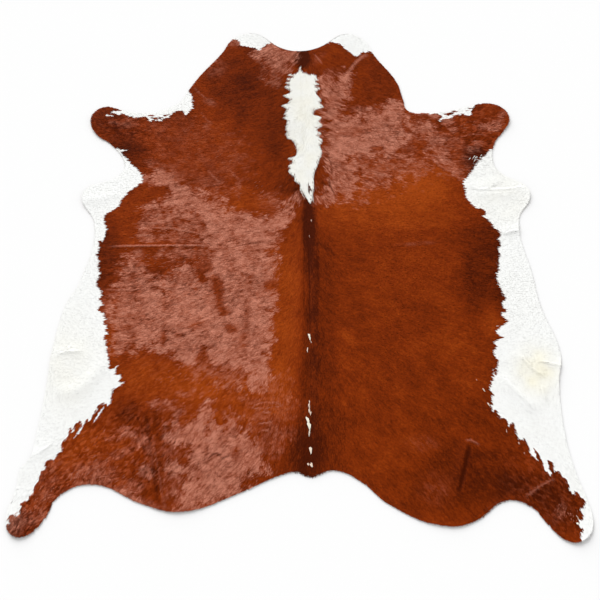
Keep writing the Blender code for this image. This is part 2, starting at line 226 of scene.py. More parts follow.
# Wisps of finer hair that lie over the coat, each a row of locks from one place to another.
# wisp, across, along, to across, to along, spread, locks, length, width, heading, white, tone,
# and cream of white hair or painted sheen of brown
WISPS = (
    ("backbone, dark", 0.0330, 0.215, 0.0370, 0.125, 0.0008, 26, 0.022, 0.0060, 8, 0, 0.00, 0.0),
    ("backbone, first", 0.0410, 0.168, 0.0440, 0.162, 0.0008, 3, 0.015, 0.0044, 26, 0.32, 0.30, 0.7),
    ("backbone, second", 0.0370, 0.107, 0.0390, 0.100, 0.0008, 3, 0.014, 0.0040, 6, 0.22, 0.20, 0.6),
    ("backbone, third", 0.0330, -0.277, 0.0370, -0.290, 0.0008, 9, 0.024, 0.0060, 8, 0.90, 0.90, 1.0),
    ("backbone, third, low", 0.0395, -0.303, 0.0400, -0.306, 0.0008, 2, 0.016, 0.0024, 4, 0.5, 0.5, 0.7),
    ("backbone, fourth", 0.0285, -0.330, 0.0295, -0.335, 0.0008, 3, 0.020, 0.0044, 2, 0.60, 0.60, 1.0),
    ("backbone, fifth", 0.0365, -0.515, 0.0350, -0.545, 0.0008, 6, 0.022, 0.0038, -4, 0.60, 0.60, 1.0),
    ("backbone, fifth, low", 0.0340, -0.548, 0.0385, -0.560, 0.0008, 7, 0.022, 0.0046, 2, 0.60, 0.6, 1.0),
    ("backbone, sixth", 0.0255, -0.574, 0.0330, -0.608, 0.0008, 18, 0.030, 0.0076, 9, 0.93, 0.90, 1.0),
    ("backbone, sixth, low", 0.0345, -0.620, 0.0345, -0.636, 0.0008, 5, 0.022, 0.0042, -2, 0.75, 0.7, 1.0),
    ("backbone, seventh", 0.0385, -0.678, 0.0402, -0.688, 0.0008, 9, 0.026, 0.0080, 3, 0.75, 0.70, 1.0),
    ("tail, dark", 0.0360, -0.655, 0.0370, -0.760, 0.0008, 20, 0.020, 0.0070, 0, 0, 0.00, 0.0),
    ("tail, left", 0.0285, -0.735, 0.0290, -0.740, 0.0008, 3, 0.018, 0.0056, 6, 0.60, 0.50, 1.0),
    ("tail, right", 0.0360, -0.733, 0.0385, -0.740, 0.0008, 4, 0.020, 0.0060, 20, 0.65, 0.60, 1.0),
    ("tail rim", 0.0040, -0.766, 0.0540, -0.778, 0.0008, 30, 0.016, 0.0024, 0, 0, 0.10, 0.0),
    ("blaze end, left", -0.0060, 0.300, 0.0080, 0.275, 0.0008, 5, 0.032, 0.0020, 28, 0.8, 0.80, 0.3),
    ("blaze end, right", 0.0520, 0.275, 0.0540, 0.255, 0.0008, 3, 0.030, 0.0020, 4, 0.8, 0.80, 0.3),
    ("blaze notch", 0.0500, 0.746, 0.0640, 0.742, 0.0008, 5, 0.024, 0.0024, 80, 0, 0.25, 0.2),
    ("right armpit, dark", 0.6800, 0.450, 0.7300, 0.444, 0.0020, 26, 0.026, 0.0034, -30, 0, 0.02, 0.0),
    ("right armpit, white", 0.6880, 0.430, 0.7240, 0.440, 0.0040, 7, 0.028, 0.0024, -30, 1, 0.70, 0.2),
    ("right armpit, brown", 0.6880, 0.408, 0.7160, 0.412, 0.0008, 6, 0.026, 0.0022, -15, 0, 0.15, 0.0),
    ("right armpit, outer", 0.7340, 0.424, 0.7450, 0.430, 0.0008, 2, 0.022, 0.0016, -20, 0, 0.15, 0.0),
    ("left armpit, white", -0.7360, 0.476, -0.7240, 0.468, 0.0008, 2, 0.024, 0.0018, 35, 1, 0.50, 0.2),
    ("left armpit, brown", -0.7120, 0.454, -0.6980, 0.440, 0.0008, 4, 0.026, 0.0022, 35, 0, 0.10, 0.0),
    ("rump fringe, low", 0.5900, -0.908, 0.6050, -0.898, 0.0008, 7, 0.018, 0.0034, 35, 0, 0.12, 0.0),
    ("rump fringe, tuft", 0.6290, -0.884, 0.6330, -0.882, 0.0008, 4, 0.024, 0.0032, 12, 0, 0.06, 0.0),
    ("rump fringe, middle", 0.6350, -0.884, 0.6900, -0.854, 0.0008, 22, 0.016, 0.0028, 18, 0, 0.20, 0.1),
    ("rump fringe, high", 0.7030, -0.852, 0.7080, -0.851, 0.0008, 3, 0.020, 0.0030, 8, 0, 0.16, 0.0),
    ("rump fringe, shank", 0.7640, -0.856, 0.7900, -0.880, 0.0008, 9, 0.014, 0.0026, 25, 0, 0.08, 0.0),
    ("right hind shank", 0.9450, -0.836, 0.9600, -0.846, 0.0008, 5, 0.020, 0.0024, 165, 0, 0.25, 0.0),
    ("right hip, first", 0.6350, -0.446, 0.6360, -0.448, 0.0008, 2, 0.010, 0.0030, 15, 0.2, 0.60, 1.0),
    ("right hip, second", 0.6560, -0.480, 0.6575, -0.482, 0.0008, 3, 0.016, 0.0040, 34, 0.7, 0.70, 1.0),
    ("right hip, third", 0.6690, -0.523, 0.6710, -0.528, 0.0008, 3, 0.024, 0.0036, 22, 0.7, 0.60, 1.0),
    ("right hip, fourth", 0.7285, -0.620, 0.7300, -0.626, 0.0008, 3, 0.016, 0.0022, 15, 0.4, 0.50, 1.0),
    ("right hip, fifth", 0.7670, -0.665, 0.7685, -0.669, 0.0008, 3, 0.015, 0.0026, 24, 0.4, 0.50, 1.0),
    ("right hip, sixth", 0.7840, -0.702, 0.7845, -0.703, 0.0008, 2, 0.009, 0.0026, 24, 0.4, 0.50, 1.0),
    ("right hind tip", 0.9390, -0.931, 0.9420, -0.935, 0.0008, 4, 0.016, 0.0036, 34, 1, 0.80, 0.6),
    ("right hind tip, upper", 0.9410, -0.909, 0.9430, -0.913, 0.0008, 3, 0.017, 0.0034, 30, 0.5, 0.50, 1.0),
    # The glints, loin arcs and rim curls below are thin hairs in the colour of the painted sheen: painted
    # highlights laid over the coat.
    ("barrel glints, high", -0.600, 0.206, -0.400, 0.190, 0.010, 45, 0.034, 0.0018, -82, 0, 0.6, 0.7),
    ("barrel glints", -0.610, 0.136, -0.390, 0.112, 0.012, 60, 0.034, 0.0018, -84, 0, 0.6, 0.7),
    ("barrel glints, middle", -0.600, 0.086, -0.400, 0.084, 0.010, 30, 0.034, 0.0016, -84, 0, 0.6, 0.6),
    ("barrel glints, low", -0.650, 0.022, -0.440, 0.000, 0.018, 60, 0.030, 0.0016, -78, 0, 0.6, 0.6),
    ("barrel glints, inner", -0.470, -0.030, -0.360, 0.010, 0.020, 40, 0.026, 0.0018, -60, 0, 0.6, 0.7),
    ("shoulder glints", -0.460, 0.540, -0.240, 0.400, 0.040, 30, 0.026, 0.0016, -50, 0, 0.6, 0.6),
    ("withers glints", -0.160, 0.300, -0.080, 0.270, 0.020, 26, 0.026, 0.0018, -50, 0, 0.6, 0.6),
    ("right shank glints", 0.620, 0.570, 0.820, 0.560, 0.024, 50, 0.028, 0.0018, 95, 0, 0.5, 0.7),
    ("left shank glints", -0.780, 0.570, -0.560, 0.590, 0.020, 24, 0.026, 0.0018, -95, 0, 0.5, 0.4),
    ("chest glints", 0.240, 0.330, 0.500, 0.400, 0.040, 90, 0.026, 0.0018, 72, 0, 0.6, 0.6),
    ("loin glints", -0.480, -0.430, -0.200, -0.480, 0.020, 50, 0.024, 0.0018, -45, 0, 0.6, 0.5),
    ("haunch glints", -0.780, -0.740, -0.560, -0.760, 0.060, 110, 0.026, 0.0020, -45, 0, 0.6, 0.5),
    ("loin arc, first", -0.150, -0.552, -0.050, -0.546, 0.0015, 18, 0.024, 0.0018, -86, 0, 0.7, 0.7),
    ("loin arc, second", -0.110, -0.568, -0.098, -0.568, 0.0012, 6, 0.024, 0.0022, -95, 0, 0.7, 0.7),
    ("loin arc, third", -0.120, -0.604, -0.090, -0.601, 0.0012, 9, 0.024, 0.0020, -88, 0, 0.7, 0.7),
    ("loin arc, fourth", -0.115, -0.630, -0.100, -0.628, 0.0012, 6, 0.022, 0.0020, -88, 0, 0.7, 0.7),
    ("rim curls, first", -0.700, -0.770, -0.640, -0.790, 0.010, 24, 0.024, 0.0020, -80, 0, 0.6, 0.7),
    ("rim curls, second", -0.800, -0.780, -0.740, -0.760, 0.010, 24, 0.022, 0.0020, -20, 0, 0.6, 0.7),
    ("rim curls, third", -0.600, -0.820, -0.540, -0.850, 0.008, 24, 0.022, 0.0020, -75, 0, 0.6, 0.7),
    ("right tip glints", 0.880, -0.880, 0.945, -0.910, 0.012, 26, 0.018, 0.0022, -20, 0, 0.6, 0.6),
    ("hind tip glints", -0.960, -0.920, -0.860, -0.820, 0.030, 60, 0.026, 0.0022, -40, 0, 0.6, 0.8),
)
WISP_PLACES = (0.2, 0.8)  # where each lock may be rooted in its part of the row
WISP_SIZES = (0.7, 1.2)  # least and most of a wisp's length, and of its width
WISP_TONES = (0.8, 1.1)  # least and most of its tone
WISP_JITTER = 8.0  # degrees by which a wisp's locks part
WISP_STRAIGHTER = 0.6  # how much less those of a white one do
WISP_LOFT = 1.2  # how much higher a wisp stands than the coat
WHITE_WISP_LOFT = 0.8  # how much higher still a white one stands
WISP_INSIDE = 0.002  # how far inside the rim a wisp is rooted
WISP_OVERHANG = 0.012  # how far a wisp of dull hair may reach past the rim
WISP_DULL = 0.2  # painted sheen under which a wisp counts as dull
WISP_PAST_BROWN = 0.004  # how far a brown wisp may reach past the brown
WISP_RUFFLED = 0.5  # how ruffled a wisp is

# A fringe of thin white locks reaches over the border of a marking where its hair is long.
FRINGED = "blaze"
FRINGE_STEP = 0.0022
FRINGE_LEAVES = 0.2  # how far the hair has to head out of the marking
FRINGE_ROOT = 0.014  # how far inside the border a lock of the fringe is rooted
FRINGE_REACH = 0.0045  # how far past the border it reaches
FRINGE_REACHES = (0.2, 1.3)  # least and most of that reach
FRINGE_WIDTH = 0.0019
FRINGE_COLOUR = (1.0, 0.8, 0.35, 1.0)  # white, tone and cream
FRINGE_TONES = (0.7, 1.2)  # least and most of its tone

# Where the coat lies ruffled, in waves.
# zone, across, along, reach across, reach along, turn, strength
RUFFLED = (
    ("left haunch", -0.600, -0.720, 0.130, 0.110, 0, 1.0),
    ("left hind shank", -0.780, -0.740, 0.120, 0.090, 30, 0.9),
    ("left hind tip", -0.930, -0.900, 0.080, 0.080, 40, 1.2),
    ("left loin", -0.300, -0.600, 0.200, 0.120, 0, 0.5),
    ("belly", -0.450, -0.200, 0.260, 0.240, 0, 0.5),
    ("right fore shank", 0.700, 0.530, 0.140, 0.110, 0, 0.9),
    ("left fore shank", -0.660, 0.570, 0.140, 0.060, 0, 0.7),
    ("right shoulder", 0.280, 0.500, 0.180, 0.200, 0, 0.3),
    ("right hind shank", 0.860, -0.840, 0.120, 0.120, 0, 0.5),
)

# Where the coat's colour takes a painted sheen, a painted highlight mixed into the hair's colour:
# fields with a strength, a feather and a ring of places in thousandths of a share. Each is laid
# over those before it, so that a dull one leaves a gap in a glossy one.
PAINTED_SHEEN_FIELDS = (
    ("withers haze", 0.24, 0.050, (
        (-580, 400), (-460, 395), (-340, 355), (-255, 320), (-250, 270), (-350, 290), (-470, 330),
        (-570, 360),
    )),
    ("backbone haze", 0.14, 0.060, (
        (-170, -440), (-60, -440), (-50, -640), (-160, -640),
    )),
    ("loin haze", 0.34, 0.050, (
        (-400, -380), (-300, -385), (-190, -395), (-185, -475), (-260, -465), (-330, -440),
        (-400, -420),
    )),
    ("withers and barrel", 0.92, 0.036, (
        (-622, 340), (-585, 358), (-540, 370), (-500, 364), (-478, 342), (-465, 310), (-420, 295),
        (-370, 268), (-345, 245), (-305, 232), (-285, 198), (-210, 185), (-185, 168), (-135, 174),
        (-90, 180), (-65, 200), (-55, 225), (-35, 248), (-10, 260), (-12, 244), (-30, 230),
        (-38, 200), (-40, 160), (-52, 130), (-76, 115), (-88, 83), (-98, 52), (-118, 36),
        (-118, 18), (-92, 8), (-95, -65), (-100, -130), (-102, -200), (-114, -222), (-102, -275),
        (-114, -330), (-126, -365), (-112, -395), (-110, -425), (-126, -480), (-142, -507),
        (-170, -496), (-184, -460), (-184, -425), (-205, -418), (-245, -420), (-262, -378),
        (-285, -402), (-325, -398), (-352, -345), (-372, -385), (-405, -396), (-445, -385),
        (-465, -358), (-510, -348), (-530, -330), (-560, -345), (-600, -325), (-640, -338),
        (-680, -352), (-688, -300), (-690, -240), (-698, -195), (-672, -160), (-688, -140),
        (-690, -105), (-674, -75), (-660, -50), (-655, -15), (-655, 6), (-638, 2), (-618, -12),
        (-632, -34), (-600, -52), (-545, -60), (-522, -82), (-530, -110), (-520, -134),
        (-502, -126), (-498, -86), (-484, -74), (-470, -52), (-448, -36), (-424, -30), (-402, -40),
        (-390, -66), (-387, -104), (-368, -110), (-352, -98), (-346, -60), (-328, -45), (-332, 0),
        (-350, 30), (-370, 62), (-384, 98), (-368, 160), (-392, 186), (-414, 180), (-449, 172),
        (-479, 185), (-500, 203), (-529, 208), (-597, 215), (-530, 238), (-508, 275), (-530, 305),
        (-600, 318),
    )),
    ("belly, outer", 0.56, 0.050, (
        (-668, -20), (-615, -30), (-585, -100), (-600, -320), (-655, -325), (-672, -200),
    )),
    ("upper barrel", 0.54, 0.036, (
        (-575, 200), (-530, 200), (-480, 178), (-450, 166), (-415, 174), (-385, 162), (-376, 108),
        (-420, 112), (-455, 121), (-505, 136), (-560, 142), (-596, 165),
    )),
    ("upper barrel, outer", 0.45, 0.024, (
        (-617, 148), (-588, 162), (-540, 154), (-500, 148), (-500, 134), (-540, 138), (-575, 134),
        (-612, 128),
    )),
    ("upper barrel, low", 0.42, 0.024, (
        (-614, 104), (-590, 114), (-560, 102), (-528, 99), (-530, 79), (-560, 76), (-602, 81),
    )),
    ("over the crease", 0.26, 0.024, (
        (-502, 96), (-450, 108), (-405, 96), (-382, 70), (-450, 64), (-498, 68),
    )),
    ("under the crease", 0.30, 0.036, (
        (-512, 48), (-374, 46), (-364, 12), (-395, 4), (-420, -4), (-450, 2), (-478, -16),
        (-504, 8),
    )),
    ("dull, barrel", 0.03, 0.024, (
        (-340, -76), (-316, -64), (-297, -72), (-288, -105), (-288, -150), (-288, -182),
        (-262, -196), (-264, -212), (-292, -221), (-310, -195), (-318, -155), (-332, -120),
    )),
    ("dull, barrel ring", 0.05, 0.024, (
        (-279, -252), (-258, -246), (-234, -256), (-231, -272), (-252, -280), (-272, -270),
    )),
    ("dull, by the backbone", 0.08, 0.017, (
        (-140, -88), (-118, -78), (-90, -82), (-90, -112), (-118, -122), (-136, -110),
    )),
    ("dull, inner", 0.35, 0.019, (
        (-200, -62), (-176, -60), (-176, -90), (-190, -125), (-205, -105),
    )),
    ("dull, inner streak", 0.38, 0.022, (
        (-208, -170), (-188, -180), (-186, -260), (-196, -335), (-222, -330), (-210, -255),
    )),
    ("dull, notch", 0.06, 0.024, (
        (-396, 12), (-368, 12), (-348, -10), (-336, -34), (-362, -50), (-388, -44), (-402, -10),
    )),
    ("dull, stroke", 0.25, 0.012, (
        (-468, -45), (-455, -40), (-455, -80), (-474, -115), (-480, -104), (-466, -75),
    )),
    ("dull, loin", 0.08, 0.014, (
        (-512, -282), (-494, -272), (-488, -292), (-495, -328), (-510, -325),
    )),
    ("dull, loin, beside", 0.15, 0.012, (
        (-460, -284), (-430, -281), (-420, -293), (-455, -298),
    )),
    ("dull, loin, slanted", 0.30, 0.017, (
        (-412, -258), (-385, -238), (-352, -240), (-366, -256), (-392, -272),
    )),
    ("dull, loin, inner", 0.10, 0.017, (
        (-378, -368), (-358, -335), (-340, -350), (-334, -378), (-352, -398), (-376, -390),
    )),
    ("dull, belly", 0.30, 0.014, (
        (-658, -268), (-640, -249), (-616, -256), (-616, -270), (-648, -279),
    )),
    ("dull, belly, upper", 0.25, 0.014, (
        (-662, -122), (-630, -112), (-585, -102), (-598, -126), (-640, -134),
    )),
    ("dull, belly, inner", 0.35, 0.014, (
        (-512, -164), (-478, -170), (-490, -184), (-506, -198),
    )),
    ("dull, blotch", 0.4, 0.019, (
        (-422, 172), (-400, 184), (-380, 170), (-380, 142), (-402, 138),
    )),
    ("haunch haze", 0.30, 0.050, (
        (-452, -735), (-400, -735), (-385, -800), (-380, -885), (-432, -898), (-455, -865),
        (-462, -800),
    )),
    ("left haunch", 0.9, 0.040, (
        (-462, -612), (-420, -618), (-385, -600), (-368, -582), (-350, -545), (-334, -528),
        (-312, -548), (-312, -578), (-332, -600), (-300, -616), (-276, -622), (-262, -598),
        (-244, -574), (-224, -584), (-202, -608), (-198, -652), (-170, -666), (-138, -672),
        (-122, -700), (-134, -720), (-108, -748), (-132, -770), (-165, -786), (-188, -774),
        (-192, -794), (-214, -836), (-280, -872), (-330, -892), (-410, -915), (-416, -880),
        (-405, -850), (-408, -815), (-402, -785), (-440, -764), (-448, -745), (-432, -728),
        (-405, -744), (-392, -725), (-396, -695), (-425, -668), (-448, -648),
    )),
    ("left haunch, bright", 1.0, 0.064, (
        (-360, -700), (-310, -680), (-262, -700), (-235, -740), (-262, -792), (-310, -840),
        (-360, -868), (-380, -830), (-372, -760),
    )),
    ("left hip", 0.36, 0.030, (
        (-528, -546), (-500, -533), (-466, -530), (-440, -546), (-414, -562), (-434, -588),
        (-450, -566), (-490, -556),
    )),
    ("haunch arc", 0.26, 0.024, (
        (-670, -655), (-645, -640), (-600, -620), (-568, -625), (-545, -658), (-526, -700),
        (-512, -745), (-540, -722), (-565, -680), (-595, -652), (-640, -658),
    )),
    ("haunch by the fold", 0.42, 0.019, (
        (-556, -762), (-532, -748), (-512, -765), (-522, -790), (-550, -784),
    )),
    ("dull, haunch", 0.30, 0.014, (
        (-232, -690), (-214, -686), (-212, -716), (-228, -738), (-240, -718),
    )),
    ("tail side", 0.14, 0.048, (
        (-135, -650), (-80, -650), (-70, -690), (-95, -735), (-125, -720),
    )),
    ("left neck", 0.74, 0.032, (
        (-198, 905), (-165, 920), (-140, 945), (-112, 956), (-85, 928), (-40, 914), (-10, 900),
        (-28, 862), (-40, 820), (-80, 800), (-98, 822), (-150, 850), (-172, 878),
    )),
    ("left neck, low", 0.28, 0.040, (
        (-150, 840), (-95, 815), (-70, 790), (-90, 750), (-130, 765), (-150, 800),
    )),
    ("left crest tip", 0.55, 0.019, (
        (-298, 938), (-288, 972), (-264, 966), (-250, 940), (-272, 934),
    )),
    ("left fore root", 0.05, 0.035, (
        (-508, 600), (-490, 634), (-472, 612), (-448, 612), (-446, 580), (-470, 562), (-498, 575),
    )),
    ("left fore shank", 0.16, 0.022, (
        (-760, 580), (-700, 596), (-655, 598), (-660, 578), (-695, 558), (-735, 568),
    )),
    ("left shoulder", 0.36, 0.048, (
        (-478, 448), (-456, 492), (-434, 502), (-420, 466), (-388, 446), (-364, 416), (-400, 402),
        (-450, 404), (-470, 420),
    )),
    ("left shoulder haze", 0.06, 0.096, (
        (-600, 560), (-400, 560), (-230, 480), (-220, 380), (-340, 340), (-470, 350), (-560, 470),
    )),
    ("right shoulder haze", 0.32, 0.080, (
        (200, 420), (300, 430), (400, 425), (480, 410), (505, 385), (440, 352), (360, 332),
        (290, 290), (240, 250), (235, 330),
    )),
    ("right neck", 0.84, 0.044, (
        (98, 788), (126, 770), (136, 752), (150, 750), (160, 768), (176, 792), (194, 812),
        (208, 800), (201, 770), (192, 735), (186, 700), (176, 655), (162, 630), (152, 610),
        (168, 600), (205, 602), (255, 598), (275, 624), (305, 628), (345, 640), (370, 680),
        (398, 676), (414, 640), (432, 610), (420, 590), (414, 550), (414, 510), (404, 475),
        (385, 455), (340, 446), (290, 444), (250, 438), (200, 430), (172, 418), (195, 402),
        (228, 386), (240, 350), (233, 312), (206, 290), (203, 256), (170, 250), (155, 272),
        (140, 262), (125, 240), (90, 238), (92, 280), (118, 300), (132, 350), (124, 400),
        (113, 450), (110, 520), (106, 560), (113, 610), (104, 655), (104, 690), (90, 730),
        (88, 765),
    )),
    ("right neck, low", 0.8, 0.044, (
        (135, 425), (195, 402), (228, 386), (240, 350), (233, 312), (206, 290), (203, 256),
        (170, 250), (150, 290), (138, 350),
    )),
    ("right shoulder, bright", 1.0, 0.050, (
        (132, 515), (200, 512), (285, 500), (300, 600), (350, 612), (368, 560), (404, 548),
        (404, 500), (388, 468), (330, 470), (270, 456), (180, 444), (132, 452),
    )),
    ("dull, shoulder", 0.40, 0.019, (
        (160, 556), (210, 556), (262, 552), (276, 536), (240, 522), (200, 530), (165, 534),
    )),
    ("dull, shoulder, low", 0.08, 0.014, (
        (284, 466), (305, 477), (338, 476), (330, 458), (300, 454),
    )),
    ("dull, shoulder, upper", 0.35, 0.014, (
        (308, 636), (326, 652), (340, 640), (334, 624),
    )),
    ("right fore leg", 0.62, 0.058, (
        (435, 560), (470, 592), (492, 634), (512, 604), (528, 556), (560, 530), (600, 482),
        (602, 430), (618, 398), (664, 360), (648, 342), (590, 366), (545, 412), (520, 452),
        (500, 500), (462, 520),
    )),
    ("right armpit haze", 0.14, 0.048, (
        (600, 520), (660, 500), (690, 460), (660, 400), (630, 390), (605, 440),
    )),
    ("right fore root", 0.58, 0.019, (
        (530, 614), (552, 624), (574, 614), (566, 598), (545, 596),
    )),
    ("right fore shank", 0.36, 0.022, (
        (584, 592), (612, 602), (624, 572), (616, 538), (600, 552), (586, 570),
    )),
    ("right fore shank, lower", 0.45, 0.022, (
        (716, 560), (752, 578), (792, 588), (802, 560), (762, 544), (725, 546),
    )),
    ("right fore shank, back", 0.38, 0.024, (
        (676, 452), (698, 482), (722, 504), (734, 480), (716, 446), (690, 440),
    )),
    ("right withers", 0.46, 0.019, (
        (44, 240), (75, 248), (110, 246), (150, 258), (140, 232), (100, 226), (60, 226),
    )),
)

# Smaller patches of painted sheen.
# patch, across, along, reach across, reach along, turn, strength
PAINTED_SHEEN_PATCHES = (
    ("hip fleck, first", -0.415, -0.505, 0.022, 0.008, -10, 0.35),
    ("hip fleck, second", -0.385, -0.490, 0.010, 0.008, 0, 0.35),
    ("hip fleck, third", -0.350, -0.510, 0.006, 0.012, 0, 0.30),
    ("loin fleck, first", -0.265, -0.475, 0.009, 0.006, 0, 0.50),
    ("loin fleck, second", -0.215, -0.520, 0.012, 0.008, -30, 0.35),
    ("loin fleck, third", -0.270, -0.570, 0.007, 0.007, 0, 0.40),
    ("haunch fleck, first", -0.468, -0.655, 0.014, 0.010, -30, 0.45),
    ("haunch fleck, second", -0.460, -0.678, 0.012, 0.006, -30, 0.35),
    ("haunch fleck, third", -0.475, -0.700, 0.016, 0.012, 0, 0.20),
    ("haunch, low", -0.580, -0.822, 0.030, 0.018, 0, 0.35),
    ("haunch, inner", -0.440, -0.700, 0.030, 0.030, 0, 0.12),
    ("haunch wave", -0.640, -0.715, 0.060, 0.012, 22, 0.25),
    ("rim, first", -0.760, -0.822, 0.080, 0.014, 12, 0.35),
    ("rim, second", -0.620, -0.838, 0.060, 0.010, -22, 0.38),
    ("rim, third", -0.520, -0.878, 0.050, 0.010, -22, 0.40),
    ("left hind shank", -0.730, -0.770, 0.060, 0.025, 0, 0.25),
    ("left hind shank rim", -0.870, -0.772, 0.040, 0.035, 30, 0.16),
    ("left hind shank, middle", -0.870, -0.870, 0.030, 0.030, 0, 0.2),
    ("left hind tip", -0.975, -0.935, 0.025, 0.030, 0, 0.6),
    ("left hind tip, inner", -0.900, -0.920, 0.040, 0.020, 0, 0.35),
    ("left neck, faint", -0.368, 0.672, 0.020, 0.010, -30, 0.35),
    ("left neck, middle", -0.375, 0.565, 0.014, 0.012, 0, 0.30),
    ("left neck rim", -0.350, 0.830, 0.030, 0.030, 0, 0.18),
    ("left withers", -0.110, 0.240, 0.040, 0.026, 0, 0.22),
    ("under the crease, first", -0.618, 0.022, 0.014, 0.018, 0, 0.35),
    ("under the crease, second", -0.536, 0.022, 0.022, 0.008, 55, 0.40),
    ("under the crease, third", -0.600, -0.028, 0.014, 0.014, 0, 0.30),
    ("belly rim", -0.715, -0.190, 0.020, 0.040, 0, 0.35),
    ("right nape", 0.080, 0.875, 0.012, 0.030, -40, 0.10),
    ("right shoulder border", 0.260, 0.425, 0.140, 0.018, 0, 0.24),
    ("right fore leg, upper", 0.440, 0.490, 0.030, 0.030, 0, 0.24),
    ("right neck, faint", 0.150, 0.800, 0.040, 0.020, 0, 0.2),
    ("right neck, thin", 0.250, 0.640, 0.030, 0.012, 0, 0.25),
    ("right barrel", 0.450, 0.065, 0.060, 0.006, 5, 0.10),
    ("right haunch", 0.430, -0.675, 0.040, 0.018, 0, 0.07),
    ("right haunch, low", 0.470, -0.830, 0.040, 0.040, 0, 0.06),
    ("right fore tip", 0.820, 0.600, 0.010, 0.025, -20, 0.35),
    ("right hind tip", 0.890, -0.905, 0.030, 0.012, 60, 0.12),
)

# Where the brown is brighter, above nothing, or darker, below it.
# zone, across, along, reach across, reach along, turn, change
TONES = (
    ("left of the backbone", -0.060, -0.200, 0.050, 0.260, 0, 0.32),
    ("left haunch", -0.680, -0.700, 0.120, 0.090, 0, 0.20),
    ("left hind shank", -0.820, -0.720, 0.070, 0.070, 0, 0.14),
    # Painted highlight: a soft brighter patch on the right haunch.
    ("right haunch glow", 0.470, -0.830, 0.035, 0.060, 0, 0.14),
    ("right haunch glow, upper", 0.430, -0.680, 0.050, 0.025, 0, 0.14),
    ("right chest", 0.400, 0.320, 0.150, 0.080, 0, 0.18),
    ("left loin", -0.480, -0.455, 0.160, 0.060, 0, 0.30),
    ("left loin, inner", -0.200, -0.520, 0.160, 0.100, 0, 0.32),
    ("left of the backbone, low", -0.075, -0.500, 0.045, 0.080, 0, 0.10),
    ("left withers", -0.230, 0.240, 0.100, 0.050, 0, 0.18),
    ("left shoulder", -0.380, 0.480, 0.160, 0.120, 0, 0.06),
    ("left barrel rim", -0.700, 0.200, 0.060, 0.060, 0, 0.06),
    ("belly rim", -0.700, -0.270, 0.030, 0.120, 0, 0.22),
    ("left hip rim", -0.760, -0.640, 0.060, 0.060, 30, 0.16),
    ("right withers", 0.330, 0.200, 0.260, 0.080, 0, 0.24),
    ("right shoulder", 0.520, 0.320, 0.100, 0.060, 0, 0.24),
    ("right of the backbone", 0.095, -0.150, 0.045, 0.260, 0, -0.17),
    ("right of the backbone, low", 0.095, -0.620, 0.045, 0.200, 0, -0.17),
    ("right loin streak", 0.175, -0.295, 0.045, 0.014, -42, 0.22),
    ("right barrel", 0.330, 0.060, 0.160, 0.120, 0, 0.08),
    ("right loin", 0.300, -0.600, 0.200, 0.100, 0, -0.06),
    ("right rim, low", 0.715, -0.240, 0.030, 0.050, 0, 0.22),
    ("right flank root", 0.640, -0.400, 0.080, 0.060, 0, 0.05),
    ("backbone line", 0.036, 0.155, 0.021, 0.090, 0, -0.75),
    ("backbone line, middle", 0.046, -0.030, 0.022, 0.140, 0, -0.24),
    ("backbone line, low", 0.040, -0.400, 0.030, 0.200, 0, -0.25),
    ("tail", 0.020, -0.700, 0.045, 0.100, 0, -0.42),
    ("nape", 0.012, 0.880, 0.026, 0.040, 0, -0.60),
    ("blaze end", 0.000, 0.320, 0.060, 0.070, 0, -0.22),
    ("blaze left", -0.100, 0.600, 0.040, 0.180, 0, -0.14),
    ("right rim", 0.720, -0.025, 0.060, 0.150, 0, -0.34),
    # Painted shade along the right barrel's fold.
    ("right barrel fold", 0.640, -0.060, 0.030, 0.140, 0, -0.18),
    ("right barrel blotch", 0.400, -0.160, 0.050, 0.030, -45, -0.12),
    ("left neck", -0.240, 0.800, 0.100, 0.120, 0, -0.20),
    ("left neck, low", -0.160, 0.620, 0.120, 0.120, 0, -0.10),
    ("left rim", -0.730, 0.020, 0.040, 0.120, 0, -0.22),
    ("left armpit", -0.660, 0.440, 0.070, 0.040, -35, -0.30),
    ("left fore shank", -0.740, 0.550, 0.100, 0.050, -35, -0.28),
    ("left hip", -0.615, -0.575, 0.030, 0.030, 0, -0.28),
    # Painted shade along the left haunch's fold.
    ("left haunch fold", -0.520, -0.700, 0.060, 0.140, 0, -0.08),
    ("left hind tip", -0.950, -0.950, 0.050, 0.040, 0, -0.30),
    ("right haunch", 0.600, -0.800, 0.160, 0.100, 0, -0.24),
    ("right haunch corner", 0.740, -0.810, 0.050, 0.030, 0, -0.22),
    ("right hind shank", 0.880, -0.880, 0.070, 0.080, 0, -0.32),
    ("right hip", 0.640, -0.610, 0.100, 0.050, 0, -0.14),
    ("right armpit", 0.700, 0.415, 0.040, 0.040, -20, -0.60),
    ("right fore shank", 0.720, 0.500, 0.080, 0.050, 0, -0.02),
    ("right neck rim", 0.350, 0.780, 0.060, 0.080, 0, -0.16),
)

# Where white hair is stained, or creamy.
# zone, across, along, reach across, reach along, turn, strength
STAINS = (
    ("right flank", 0.86, -0.42, 0.06, 0.07, 0, 1.0),
    ("right elbow", 0.80, 0.26, 0.10, 0.10, 0, 0.20),
    ("blaze", 0.02, 0.55, 0.08, 0.30, 0, 0.50),
    ("left flank", -0.84, -0.40, 0.08, 0.12, 0, 0.25),
)

# Where the hair is longer than elsewhere.
# zone, across, along, reach across, reach along, turn, share longer
LONGER = (
    ("blaze", 0.02, 0.55, 0.07, 0.30, 0, 0.7),
    ("tail", 0.03, -0.76, 0.05, 0.04, 0, 1.0),
    ("backbone", 0.03, -0.30, 0.02, 0.50, 0, 0.3),
    ("right rump rim", 0.64, -0.90, 0.10, 0.04, 0, 0.5),
    ("right armpit", 0.72, 0.42, 0.06, 0.05, 0, 0.4),
)
